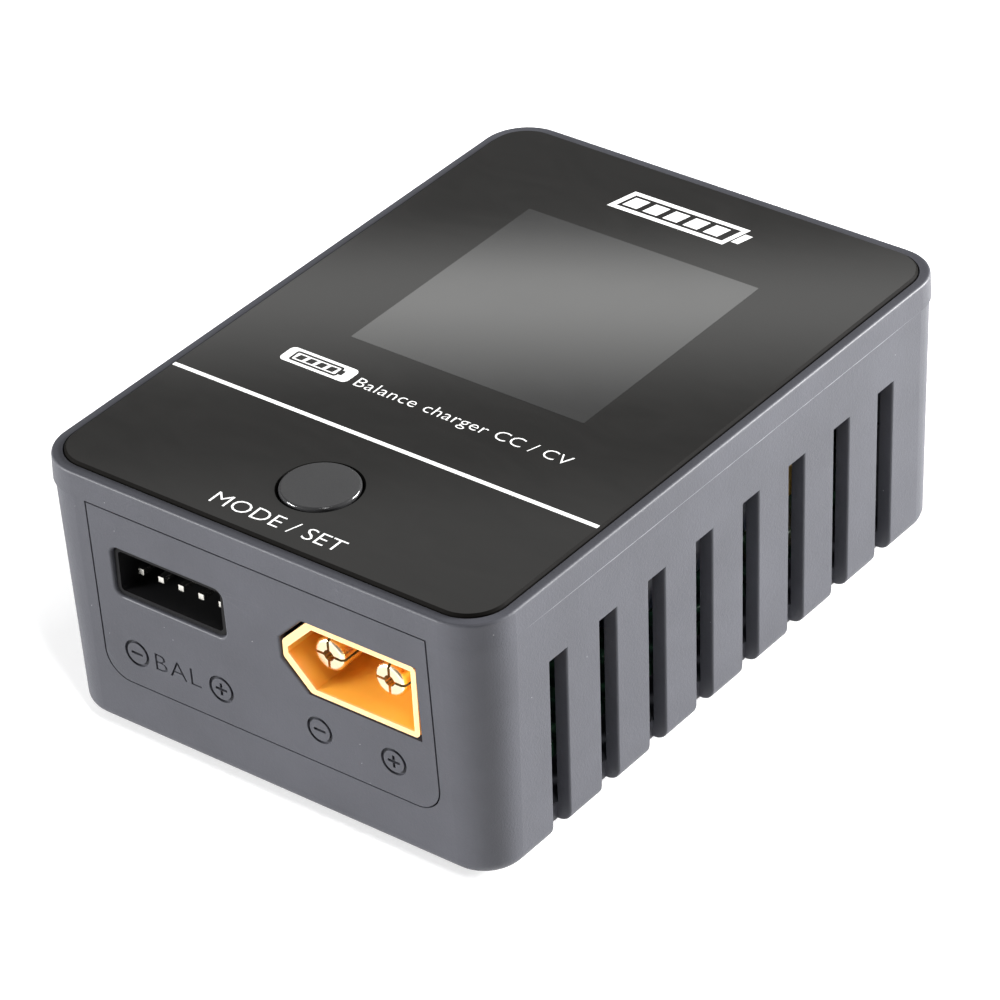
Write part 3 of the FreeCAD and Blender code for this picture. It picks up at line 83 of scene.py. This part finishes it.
class Nodes:
    """A material's node tree, with its Principled shader and object coordinates."""

    def __init__(self, name):
        self.material = bpy.data.materials.new(name)
        self.material.use_nodes = True
        self.tree = self.material.node_tree
        self.shader = self.tree.nodes["Principled BSDF"]
        coordinates = self.add("ShaderNodeTexCoord")
        self.place = coordinates.outputs["Object"]
        self.normal = coordinates.outputs["Normal"]

    def add(self, kind, **settings):
        node = self.tree.nodes.new(kind)
        for name, value in settings.items():
            setattr(node, name, value)
        return node

    def link(self, source, target):
        self.tree.links.new(source, target)

    def noise(self, size, detail=3.0, roughness=0.5, stretch=(1, 1, 1), distortion=0.0):
        """A noise whose features measure about size metres; its value is 0 to 1."""
        mapping = self.add("ShaderNodeMapping")
        mapping.inputs["Scale"].default_value = [share / size for share in stretch]
        self.link(self.place, mapping.inputs["Vector"])
        node = self.add("ShaderNodeTexNoise")
        node.inputs["Scale"].default_value = 1.0
        node.inputs["Detail"].default_value = detail
        node.inputs["Roughness"].default_value = roughness
        node.inputs["Distortion"].default_value = distortion
        self.link(mapping.outputs["Vector"], node.inputs["Vector"])
        return node.outputs["Fac"]

    def ramp(self, value, stops):
        """A colour or grey ramp over a value; stops are (position, colour or grey)."""
        node = self.add("ShaderNodeValToRGB")
        elements = node.color_ramp.elements
        while len(elements) < len(stops):
            elements.new(0.5)
        for element, (position, colour) in zip(elements, stops):
            element.position = position
            shade = colour if isinstance(colour, (tuple, list)) else (colour,) * 3
            element.color = (*shade[:3], 1)
        self.link(value, node.inputs["Fac"])
        return node.outputs["Color"]

    def span(self, value, low, high, source=(0.0, 1.0)):
        """A value mapped from the source range to low .. high."""
        node = self.add("ShaderNodeMapRange")
        node.inputs["From Min"].default_value = source[0]
        node.inputs["From Max"].default_value = source[1]
        node.inputs["To Min"].default_value = low
        node.inputs["To Max"].default_value = high
        self.link(value, node.inputs["Value"])
        return node.outputs["Result"]

    def math(self, operation, first, second):
        node = self.add("ShaderNodeMath", operation=operation)
        for socket, item in zip(node.inputs, (first, second)):
            if isinstance(item, (int, float)):
                socket.default_value = item
            else:
                self.link(item, socket)
        return node.outputs["Value"]

    def mix(self, share, first, second):
        node = self.add("ShaderNodeMix", data_type="RGBA")
        colours = [socket for socket in node.inputs if socket.type == "RGBA"]
        for socket, item in zip(colours, (first, second)):
            if isinstance(item, (tuple, list)):
                socket.default_value = (*item[:3], 1)
            else:
                self.link(item, socket)
        self.link(share, node.inputs["Factor"])
        return next(socket for socket in node.outputs if socket.type == "RGBA")

    def colour(self, value):
        self.link(value, self.shader.inputs["Base Color"])

    def rough(self, value):
        self.link(value, self.shader.inputs["Roughness"])

    def bump(self, height, distance):
        """Bump of a depth in metres, added to any bump made before."""
        node = self.add("ShaderNodeBump")
        node.inputs["Strength"].default_value = 1.0
        node.inputs["Distance"].default_value = distance
        self.link(height, node.inputs["Height"])
        before = self.shader.inputs["Normal"].links
        if before:
            self.link(before[0].from_socket, node.inputs["Normal"])
        self.link(node.outputs["Normal"], self.shader.inputs["Normal"])

    def set(self, **values):
        for name, value in values.items():
            socket = self.shader.inputs[name.replace("_", " ")]
            socket.default_value = (*value, 1) if isinstance(value, tuple) else value


def shade(colour, factor):
    return tuple(min(1.0, part * factor) for part in colour)


def moulded(name, colour, rough=0.5, grain=0.00012, depth=0.00001, change=0.12, **values):
    """Moulded plastic: fine spark texture, faint cloudiness, uneven gloss."""
    nodes = Nodes(name)
    cloud = nodes.noise(0.009, detail=4)
    fine = nodes.noise(grain, detail=2, roughness=0.6)
    nodes.colour(nodes.ramp(cloud, [
        (0.25, shade(colour, 1 - change)),
        (0.75, shade(colour, 1 + change)),
    ]))
    nodes.rough(nodes.span(fine, rough - 0.06, rough + 0.06))
    nodes.bump(fine, depth)
    nodes.set(**values)
    return nodes


def metal(name, colour, rough=0.25, brush=(1, 1, 12), **values):
    """Bare or plated metal with fine drawn lines."""
    nodes = Nodes(name)
    lines = nodes.noise(0.0004, detail=3, stretch=brush)
    nodes.colour(nodes.ramp(lines, [(0.2, shade(colour, 0.88)), (0.8, shade(colour, 1.06))]))
    nodes.rough(nodes.span(lines, rough - 0.07, rough + 0.1))
    nodes.bump(lines, 0.000004)
    nodes.set(Metallic=1.0, **values)
    return nodes


# ---------------------------------------------------------------- materials

CASE_GREY = (0.045, 0.046, 0.0545)


def case_plastic():
    """Matte charcoal ABS with spark texture, rubbed patches and specks of dust."""
    nodes = Nodes("case_plastic")
    cloud = nodes.noise(0.012, detail=5, roughness=0.6)
    grain = nodes.noise(0.00028, detail=3, roughness=0.7)
    base = nodes.ramp(cloud, [(0.3, shade(CASE_GREY, 0.9)), (0.7, shade(CASE_GREY, 1.12))])
    dust = nodes.add("ShaderNodeTexVoronoi", feature="F1")
    dust.inputs["Scale"].default_value = 1 / 0.0022
    nodes.link(nodes.place, dust.inputs["Vector"])
    speck = nodes.math("LESS_THAN", dust.outputs["Distance"], 0.024)
    picked = nodes.math("GREATER_THAN", dust.outputs["Color"], 0.55)
    speck = nodes.math("MULTIPLY", speck, picked)
    nodes.colour(nodes.mix(speck, base, (0.22, 0.22, 0.23)))
    gloss = nodes.noise(0.02, detail=3)
    nodes.rough(nodes.math("ADD", nodes.span(grain, 0.0, 0.12), nodes.span(gloss, 0.44, 0.56)))
    nodes.bump(nodes.noise(0.0012, detail=2), 0.000006)
    nodes.bump(grain, 0.00003)
    nodes.set(Specular_IOR_Level=0.24, Coat_Weight=0.10, Coat_Roughness=0.27)
    return nodes


def button_plastic():
    """Satin black cap, smoother where the rounded edge is rubbed."""
    nodes = moulded("button_plastic", (0.030, 0.030, 0.031), rough=0.40)
    split = nodes.add("ShaderNodeSeparateXYZ")
    nodes.link(nodes.normal, split.inputs["Vector"])
    edge = nodes.math("LESS_THAN", split.outputs["Z"], 0.96)
    fine = nodes.noise(0.0002, detail=2)
    matt = nodes.span(fine, 0.34, 0.46)
    nodes.rough(nodes.math("SUBTRACT", matt, nodes.math("MULTIPLY", edge, 0.24)))
    return nodes


def faceplate_acrylic():
    """Polished plate over black print, wipe marks in its gloss, and matt cut edges."""
    nodes = Nodes("faceplate_acrylic")
    wipe = nodes.noise(0.011, detail=6, roughness=0.65, stretch=(1, 2.2, 1), distortion=1.2)
    nodes.colour(nodes.ramp(wipe, [(0.3, (0.0045, 0.0042, 0.0038)), (0.7, (0.007, 0.0065, 0.006))]))
    gloss = nodes.span(wipe, 0.055, 0.067, (0.3, 0.8))
    split = nodes.add("ShaderNodeSeparateXYZ")
    nodes.link(nodes.normal, split.inputs["Vector"])
    cut_edge = nodes.math("LESS_THAN", split.outputs["Z"], 0.9)
    nodes.rough(nodes.math("MAXIMUM", gloss, nodes.math("MULTIPLY", cut_edge, 0.55)))
    shine = nodes.span(cut_edge, 0.5, 0.02)
    nodes.link(shine, nodes.shader.inputs["Specular IOR Level"])
    nodes.set(IOR=1.49)
    return nodes


def display_surface():
    """The coated glass over the display, switched off, with faint clouding in its gloss."""
    nodes = Nodes("display_glass")
    cloud = nodes.noise(0.006, detail=4)
    nodes.colour(nodes.ramp(cloud, [(0.3, (0.003, 0.003, 0.0032)), (0.7, (0.005, 0.005, 0.0053))]))
    nodes.rough(nodes.span(cloud, 0.04, 0.07))
    nodes.set(IOR=2.2, Specular_IOR_Level=0.5)
    return nodes


def print_white():
    nodes = Nodes("print_white")
    ink = nodes.noise(0.0003, detail=3)
    nodes.colour(nodes.ramp(ink, [(0.3, (0.80, 0.80, 0.79)), (0.7, (0.90, 0.90, 0.89))]))
    nodes.rough(nodes.span(ink, 0.22, 0.34))
    return nodes


# Y span of the front rim of the mouth, where a painted highlight pales the amber.
AMBER_RIM_HIGHLIGHT = (-0.03762, -0.03735)


def amber_nylon():
    """Slightly translucent amber nylon, with a painted highlight that pales the thin front rim of
    its mouth.
    """
    nodes = Nodes("amber_nylon")
    flow = nodes.noise(0.004, detail=4, stretch=(1, 0.4, 1))
    base = nodes.ramp(flow, [(0.3, (0.88, 0.40, 0.045)), (0.7, (0.94, 0.46, 0.065))])
    split = nodes.add("ShaderNodeSeparateXYZ")
    nodes.link(nodes.place, split.inputs["Vector"])
    # Painted highlight: the front rim, chosen by its Y position, is mixed towards pale cream.
    rim_highlight = nodes.span(split.outputs["Y"], 1.0, 0.0, AMBER_RIM_HIGHLIGHT)
    nodes.colour(nodes.mix(rim_highlight, base, (0.74, 0.46, 0.22)))
    fine = nodes.noise(0.00025, detail=2)
    nodes.rough(nodes.span(fine, 0.28, 0.40))
    nodes.bump(fine, 0.000004)
    nodes.set(Subsurface_Weight=0.35, Subsurface_Scale=0.0012)
    nodes.shader.inputs["Subsurface Radius"].default_value = (1.0, 0.5, 0.2)
    return nodes


def board_green():
    """Glass-epoxy board: solder mask with buried tracks and a faint weave."""
    nodes = Nodes("board_green")
    tracks = nodes.add("ShaderNodeTexBrick")
    tracks.inputs["Scale"].default_value = 1 / 0.006
    tracks.inputs["Mortar Size"].default_value = 0.03
    tracks.inputs["Color1"].default_value = (0.004, 0.016, 0.009, 1)
    tracks.inputs["Color2"].default_value = (0.005, 0.020, 0.011, 1)
    tracks.inputs["Mortar"].default_value = (0.009, 0.036, 0.018, 1)
    nodes.link(nodes.place, tracks.inputs["Vector"])
    nodes.colour(tracks.outputs["Color"])
    weave = nodes.noise(0.0005, detail=2)
    nodes.rough(nodes.span(weave, 0.25, 0.38))
    nodes.bump(tracks.outputs["Fac"], 0.00002)
    return nodes


MATERIALS = {
    "case_plastic": case_plastic,
    "faceplate_acrylic": faceplate_acrylic,
    "display_glass": display_surface,
    "amber_nylon": amber_nylon,
    "board_green": board_green,
    "button_plastic": button_plastic,
    "copper": lambda: metal("copper", (0.72, 0.27, 0.10), rough=0.28),
    "adhesive": lambda: moulded("adhesive", (0.02, 0.02, 0.02), rough=0.7),
    "white_plastic": lambda: moulded("white_plastic", (0.62, 0.62, 0.58), rough=0.4),
    "flex_film": lambda: moulded("flex_film", (0.50, 0.20, 0.03), rough=0.25),
    "black_resin": lambda: moulded("black_resin", (0.016, 0.016, 0.017), rough=0.5),
    "black_nylon": lambda: moulded(
        "black_nylon", (0.004, 0.004, 0.0045), rough=0.6, Specular_IOR_Level=0.12),
    "gold_plated": lambda: metal("gold_plated", (1.0, 0.84, 0.58), rough=0.22, brush=(1, 8, 1)),
    "tinned_brass": lambda: metal("tinned_brass", (0.88, 0.86, 0.80), rough=0.2, brush=(1, 8, 1)),
    "steel": lambda: metal("steel", (0.56, 0.56, 0.55), rough=0.3),
    "rubber": lambda: moulded("rubber", (0.022, 0.022, 0.022), rough=0.82, grain=0.0003),
    "ferrite": lambda: moulded("ferrite", (0.045, 0.042, 0.042), rough=0.6, grain=0.0002),
    "yellow_tape": lambda: moulded("yellow_tape", (0.12, 0.075, 0.010), rough=0.3),
    "can_sleeve": lambda: moulded("can_sleeve", (0.012, 0.016, 0.035), rough=0.3),
    "aluminium": lambda: metal("aluminium", (0.78, 0.78, 0.79), rough=0.3, brush=(1, 10, 1)),
    "ceramic_blue": lambda: moulded("ceramic_blue", (0.012, 0.032, 0.10), rough=0.3),
    "yellow_case": lambda: moulded("yellow_case", (0.20, 0.12, 0.012), rough=0.35),
    "fuse_ceramic": lambda: moulded("fuse_ceramic", (0.62, 0.60, 0.54), rough=0.5),
    "wire_red": lambda: moulded("wire_red", (0.42, 0.012, 0.010), rough=0.45),
    "clear_sheet": lambda: moulded("clear_sheet", (0.55, 0.57, 0.55), rough=0.2),
}


def dress_cad_nodes():
    """Give every CAD node the finished material of its slot in the record."""
    made = {}
    for entry in frame["record"]["subparts"]:
        slot = entry["material_slot"]
        if slot not in made:
            made[slot] = MATERIALS[slot]().material
        mesh = frame["nodes"][entry["node"]].data
        mesh.materials.clear()
        mesh.materials.append(made[slot])
    made["print_white"] = print_white().material
    # A lighter grey for the strip at the cover's lower edge: a painted highlight line along the
    # seam.
    made["worn_edge"] = moulded("worn_edge", (0.13, 0.132, 0.145), rough=0.45).material
    return made


# ---------------------------------------------------------------- pieces

PLATE_TOP = 30.5
INK = 0.012
WALL_LEAN = 0.03
WALL_FACE = 38.05
SEAM = 27.42


def piece(name, mesh, material):
    """Link a mesh as a part of the housing, finished in one material."""
    mesh.materials.clear()
    mesh.materials.append(material)
    obj = bpy.data.objects.new(name, mesh)
    scene.collection.objects.link(obj)
    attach(obj, HOUSING)
    return obj


def finish_mesh(bm, name):
    """Write a bmesh out in metres."""
    bmesh.ops.recalc_face_normals(bm, faces=bm.faces)
    bmesh.ops.scale(bm, vec=(MM, MM, MM), verts=bm.verts)
    mesh = bpy.data.meshes.new(name)
    bm.to_mesh(mesh)
    bm.free()
    return mesh


def prism(bm, outline, place):
    """A solid between two copies of an outline; place(u, v, level) puts each point."""
    low = [bm.verts.new(place(u, v, 0)) for u, v in outline]
    high = [bm.verts.new(place(u, v, 1)) for u, v in outline]
    bm.faces.new(list(reversed(low)))
    bm.faces.new(high)
    for index in range(len(outline)):
        after = (index + 1) % len(outline)
        bm.faces.new((low[index], low[after], high[after], high[index]))


def band(bm, outer, inner, place):
    """A solid ring between two outlines with the same number of points."""
    rows = [[bm.verts.new(place(u, v, level)) for u, v in outline]
            for level, outline in ((0, outer), (1, outer), (1, inner), (0, inner))]
    count = len(outer)
    for first, second in zip(rows, rows[1:] + rows[:1]):
        for index in range(count):
            after = (index + 1) % count
            bm.faces.new((first[index], first[after], second[after], second[index]))


def rounded(x, y, width, height, radius, steps=6):
    """Points round a rectangle about (x, y) with round corners."""
    points = []
    for turn, (across, up) in enumerate([(1, -1), (1, 1), (-1, 1), (-1, -1)]):
        middle = (x + across * (width / 2 - radius), y + up * (height / 2 - radius))
        for step in range(steps + 1):
            angle = math.pi / 2 * (turn - 1 + step / steps)
            points.append((middle[0] + radius * math.cos(angle),
                           middle[1] + radius * math.sin(angle)))
    return points


def circle(x, y, radius, steps=40):
    return [(x + radius * math.cos(2 * math.pi * step / steps),
             y + radius * math.sin(2 * math.pi * step / steps)) for step in range(steps)]


def on_plate(u, v, level, base=PLATE_TOP, thick=INK):
    """A point of the print on top of the glossy plate."""
    return (u, v, base + thick * level)


def in_panel(u, v, level, depth=0.32, outside=0.6):
    """A point of a cutter that sinks into the leaning front wall."""
    face = -(WALL_FACE - WALL_LEAN * (SEAM - v))
    return (u, face + depth - (depth + outside) * level, v)


def lettering(text, left, right, low, high, spacing=1.0):
    """A mesh of flat letters of thickness 1, filling a box in u and v, in millimetres."""
    curve = bpy.data.curves.new(text, "FONT")
    curve.body = text
    curve.extrude = 0.5
    curve.offset = -0.012
    curve.resolution_u = 3
    curve.space_character = spacing
    holder = bpy.data.objects.new(text, curve)
    scene.collection.objects.link(holder)
    seen = holder.evaluated_get(bpy.context.evaluated_depsgraph_get())
    mesh = bpy.data.meshes.new_from_object(seen)
    bpy.data.objects.remove(holder)
    bm = bmesh.new()
    bm.from_mesh(mesh)
    bpy.data.meshes.remove(mesh)
    bmesh.ops.remove_doubles(bm, verts=bm.verts, dist=0.0001)
    spans = [(min(v.co[axis] for v in bm.verts), max(v.co[axis] for v in bm.verts))
             for axis in (0, 1)]
    for vertex in bm.verts:
        for axis, (start, end) in enumerate(((left, right), (low, high))):
            share = (vertex.co[axis] - spans[axis][0]) / (spans[axis][1] - spans[axis][0])
            vertex.co[axis] = start + share * (end - start)
    return bm


def place_letters(bm, place):
    for vertex in bm.verts:
        level = 1 if vertex.co.z > 0 else 0
        vertex.co = place(vertex.co.x, vertex.co.y, level)


WINDOW = (0, 9.1, 28.4, 28.9, 0.15, 3)
RULE = (0, -18.54, 51.4, 0.5, 0.05, 2)
BADGE_X = -13.6
BADGE_Y = -11.0
BADGE_CELLS = 4
BADGE_PITCH = 1.28
BADGE_LEFT = -16.35
BADGE_LOW = -11.4
BADGE_HIGH = -10.6
EMBLEM_CELLS = 5
EMBLEM_PITCH = 2.5
EMBLEM_LEFT = -6.75
EMBLEM_LOW = 29.35
EMBLEM_HIGH = 31.15


def leaning(left, low, high, width, lean):
    """Corners of a bar that leans to the right."""
    return [(left, low), (left + width, low), (left + width + lean, high), (left + lean, high)]


def print_shape(name, bm, made, slot="white_plastic"):
    """A piece of print on the plate, white unless its slot says otherwise."""
    material = made["print_white" if slot == "white_plastic" else slot]
    piece(name, finish_mesh(bm, name), material)


def print_words(name, made, *box):
    bm = lettering(*box)
    place_letters(bm, on_plate)
    print_shape(name, bm, made)


def on_badge(u, v, level):
    """A point of the print that lies on the badge."""
    return on_plate(u, v, level, PLATE_TOP + INK, INK)


def make_badge(made):
    """A white badge with a small generic battery pictogram."""
    bm = bmesh.new()
    prism(bm, rounded(BADGE_X, BADGE_Y, 8.4, 2.5, 0.6), on_plate)
    print_shape("print_badge", bm, made)
    bm = bmesh.new()
    outer = rounded(-13.9, BADGE_Y, 5.9, 1.7, 0.3)
    band(bm, outer, rounded(-13.9, BADGE_Y, 5.4, 1.2, 0.15), on_badge)
    prism(bm, rounded(-10.75, BADGE_Y, 0.4, 0.8, 0.1, 3), on_badge)
    for index in range(BADGE_CELLS):
        left = BADGE_LEFT + BADGE_PITCH * index
        prism(bm, leaning(left, BADGE_LOW, BADGE_HIGH, 0.85, 0.2), on_badge)
    print_shape("print_badge_cells", bm, made, "faceplate_acrylic")


def make_emblem(made):
    """A generic battery pictogram with leaning cells, at the rear of the plate."""
    bm = bmesh.new()
    band(bm, [(-8.0, 28.4), (6.3, 28.4), (7.2, 32.1), (-7.1, 32.1)],
         [(-7.25, 28.95), (5.85, 28.95), (6.5, 31.55), (-6.6, 31.55)], on_plate)
    prism(bm, [(6.75, 29.3), (7.6, 29.3), (8.1, 31.2), (7.2, 31.2)], on_plate)
    for index in range(EMBLEM_CELLS):
        left = EMBLEM_LEFT + EMBLEM_PITCH * index
        prism(bm, leaning(left, EMBLEM_LOW, EMBLEM_HIGH, 1.75, 0.45), on_plate)
    print_shape("print_cell_emblem", bm, made)


def make_prints(made):
    """The window and the white print on the plate."""
    bm = bmesh.new()
    prism(bm, rounded(*WINDOW), on_plate)
    print_shape("display_window", bm, made, "display_glass")
    bm = bmesh.new()
    prism(bm, rounded(*RULE), on_plate)
    print_shape("print_rule", bm, made)
    print_words("print_button_label", made, "MODE / SET", -7.4, 8.1, -35.0, -33.2)
    print_words("print_caption", made, "Balance charger CC / CV", -8.6, 17.1, -12.55, -10.6, 1.04)
    make_badge(made)
    make_emblem(made)


# Extent of the thin strip at the cover's lower edge. Its lighter grey is a painted highlight line.
SEAM_STRIP_START = -32.0
SEAM_STRIP_END = 33.0
SEAM_STRIP_STEPS = 90
SEAM_STRIP_REACH = 27.199
SEAM_STRIP_DEPTH = 0.12
SEAM_STRIP_SEED = 7
COVER_EDGE = 27.47


def make_seam_highlight_strip(made):
    """A thin uneven strip at the cover's lower edge along both long sides, whose lighter grey is a
    painted highlight line along the seam.
    """
    chance = random.Random(SEAM_STRIP_SEED)
    bm = bmesh.new()
    for side in (-1, 1):
        rows = []
        for step in range(SEAM_STRIP_STEPS + 1):
            share = step / SEAM_STRIP_STEPS
            y = SEAM_STRIP_START + (SEAM_STRIP_END - SEAM_STRIP_START) * share
            fade = min(1.0, 8 * share, 8 * (1 - share))
            tall = 0.004 + fade * (0.04 + 0.06 * chance.random())
            inner, low, high = SEAM_STRIP_REACH - SEAM_STRIP_DEPTH, COVER_EDGE - tall, COVER_EDGE + 0.005
            corners = ((inner, low), (SEAM_STRIP_REACH, low), (SEAM_STRIP_REACH, high), (inner, high))
            rows.append([bm.verts.new((side * x, y, z)) for x, z in corners])
        for first, second in zip(rows, rows[1:]):
            for index in range(4):
                after = (index + 1) % 4
                bm.faces.new((first[index], first[after], second[after], second[index]))
        bm.faces.new(rows[0])
        bm.faces.new(rows[-1])
    # The strip's lighter grey is a painted highlight line.
    piece("seam_highlight_strip", finish_mesh(bm, "seam_highlight_strip"), made["worn_edge"])


RINGS = ((-16.33, 10.87, False), (-5.73, 10.9, True), (6.35, 11.05, False), (15.22, 11.1, True))
RING_OUTER = 1.52
RING_INNER = 1.2
MARK_HALF = 0.72
MARK_WIDTH = 0.3


def make_front_panel(made):
    """The front panel with its polarity rings and lettering sunk into the plastic."""
    node = frame["nodes"]["front_panel"]
    mesh = node.data.copy()
    mesh.transform(node.matrix_world)
    panel = piece("front_panel_engraved", mesh, made["case_plastic"])

    bm = bmesh.new()
    for x, z, positive in RINGS:
        band(bm, circle(x, z, RING_OUTER), circle(x, z, RING_INNER), in_panel)
        prism(bm, rounded(x, z, 2 * MARK_HALF, MARK_WIDTH, 0.1, 3), in_panel)
        if positive:
            gap = MARK_WIDTH / 2 + 0.01
            for side in (-1, 1):
                middle = z + side * (MARK_HALF + gap) / 2
                prism(bm, rounded(x, middle, MARK_WIDTH, MARK_HALF - gap, 0.05, 3), in_panel)
    letters = lettering("BAL", -14.0, -8.3, 9.95, 11.9, 1.1)
    place_letters(letters, in_panel)
    scratch = bpy.data.meshes.new("letters")
    letters.to_mesh(scratch)
    letters.free()
    bm.from_mesh(scratch)
    bpy.data.meshes.remove(scratch)
    cutter_mesh = finish_mesh(bm, "panel_cutter")
    cutter = bpy.data.objects.new("panel_cutter", cutter_mesh)
    scene.collection.objects.link(cutter)

    carve = panel.modifiers.new("carve", "BOOLEAN")
    carve.operation = "DIFFERENCE"
    carve.solver = "EXACT"
    carve.use_self = True
    carve.object = cutter
    carved = bpy.data.meshes.new_from_object(
        panel.evaluated_get(bpy.context.evaluated_depsgraph_get()))
    panel.modifiers.clear()
    panel.data = carved
    bpy.data.objects.remove(cutter)
    carved.materials.clear()
    carved.materials.append(made["case_plastic"])
    for polygon in carved.polygons:
        polygon.material_index = 0
    soften = panel.modifiers.new("soften", "BEVEL")
    soften.width = 0.06 * MM
    soften.segments = 2
    soften.limit_method = "ANGLE"
    soften.angle_limit = math.radians(50)
    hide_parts("front_panel")


# ---------------------------------------------------------------- studio

def area_light(name, at, towards, size, power):
    data = bpy.data.lights.new(name, "AREA")
    data.shape = "RECTANGLE"
    data.size, data.size_y = size
    data.energy = power
    light = bpy.data.objects.new(name, data)
    scene.collection.objects.link(light)
    light.location = at
    light.rotation_euler = (Vector(towards) - Vector(at)).to_track_quat("-Z", "Y").to_euler()


BAND_NORMAL = (0.5, -0.866, 0.0)
BAND_SPAN = 50.0
BAND_LOW = 0.35
BAND_HIGH = 1.4
BAND_FAR = 0.65
BAND = (
    (-50, BAND_LOW), (-25, BAND_LOW), (-14, BAND_HIGH), (-8, BAND_HIGH), (8, BAND_LOW),
    (18, BAND_LOW), (28, BAND_FAR),
)
BAND_BLUE = 0.985
CARD_HALF = 0.16


def make_reflection_card():
    """A soft graded card above and behind, seen only as the band across the glossy plate."""
    eye = scene.camera.location
    half = CARD_HALF
    mesh = bpy.data.meshes.new("card")
    mesh.from_pydata([(-half, -half, 0), (-half, half, 0), (half, half, 0), (half, -half, 0)],
                     [], [(0, 1, 2, 3)])
    card = bpy.data.objects.new("card", mesh)
    scene.collection.objects.link(card)
    card.location = (-eye.x, -eye.y, eye.z)
    card.visible_camera = False
    card.visible_diffuse = False
    card.visible_shadow = False

    material = bpy.data.materials.new("card_light")
    material.use_nodes = True
    tree = material.node_tree
    tree.nodes.remove(tree.nodes["Principled BSDF"])
    glow = tree.nodes.new("ShaderNodeEmission")
    tree.links.new(glow.outputs["Emission"], tree.nodes["Material Output"].inputs["Surface"])
    place = tree.nodes.new("ShaderNodeTexCoord")
    along = tree.nodes.new("ShaderNodeVectorMath")
    along.operation = "DOT_PRODUCT"
    along.inputs[1].default_value = BAND_NORMAL
    tree.links.new(place.outputs["Object"], along.inputs[0])
    reach = 2 * BAND_SPAN * MM
    share = tree.nodes.new("ShaderNodeMapRange")
    share.inputs["From Min"].default_value = -reach
    share.inputs["From Max"].default_value = reach
    tree.links.new(along.outputs["Value"], share.inputs["Value"])
    ramp = tree.nodes.new("ShaderNodeValToRGB")
    elements = ramp.color_ramp.elements
    while len(elements) < len(BAND):
        elements.new(0.5)
    for element, (position, level) in zip(elements, BAND):
        element.position = (position + BAND_SPAN) / (2 * BAND_SPAN)
        element.color = (level, level, level * BAND_BLUE, 1)
    tree.links.new(share.outputs["Result"], ramp.inputs["Fac"])
    tree.links.new(ramp.outputs["Color"], glow.inputs["Color"])
    mesh.materials.append(material)


FLOOR_HEIGHT = -0.00005
FLOOR_HALF = 3.0
FLOOR_GLOW = 0.22
SKY_STRENGTH = 0.24


def make_studio():
    """A white sweep, a weak even sky and soft boxes at the sides."""
    world = bpy.data.worlds.new("studio")
    scene.world = world
    world.use_nodes = True
    background = world.node_tree.nodes["Background"]
    background.inputs["Color"].default_value = (1, 1, 1, 1)
    background.inputs["Strength"].default_value = SKY_STRENGTH

    mesh = bpy.data.meshes.new("floor")
    half = FLOOR_HALF
    mesh.from_pydata([(-half, -half, 0), (half, -half, 0), (half, half, 0), (-half, half, 0)],
                     [], [(0, 1, 2, 3)])
    floor = bpy.data.objects.new("floor", mesh)
    scene.collection.objects.link(floor)
    nodes = moulded("floor_paint", (0.90, 0.90, 0.90), rough=0.85, grain=0.004, change=0.01)
    nodes.set(Emission_Color=(1.0, 1.0, 1.0), Emission_Strength=FLOOR_GLOW)
    mesh.materials.append(nodes.material)
    floor.location.z = FLOOR_HEIGHT

    area_light("side", (0.38, 0.52, 0.21), (0, 0.01, 0.012), (0.26, 0.2), 19)
    area_light("front", (-0.70, -0.74, 0.24), (0, 0, 0.01), (0.4, 0.25), 24)
    area_light("strip", (0.30, -0.22, 0.72), (0.01, -0.01, 0.02), (0.03, 0.30), 1.6)


# ---------------------------------------------------------------- the whole scene

make_camera()
materials = dress_cad_nodes()
make_prints(materials)
make_seam_highlight_strip(materials)
make_front_panel(materials)
make_studio()
make_reflection_card()
scene.view_settings.view_transform = "Standard"
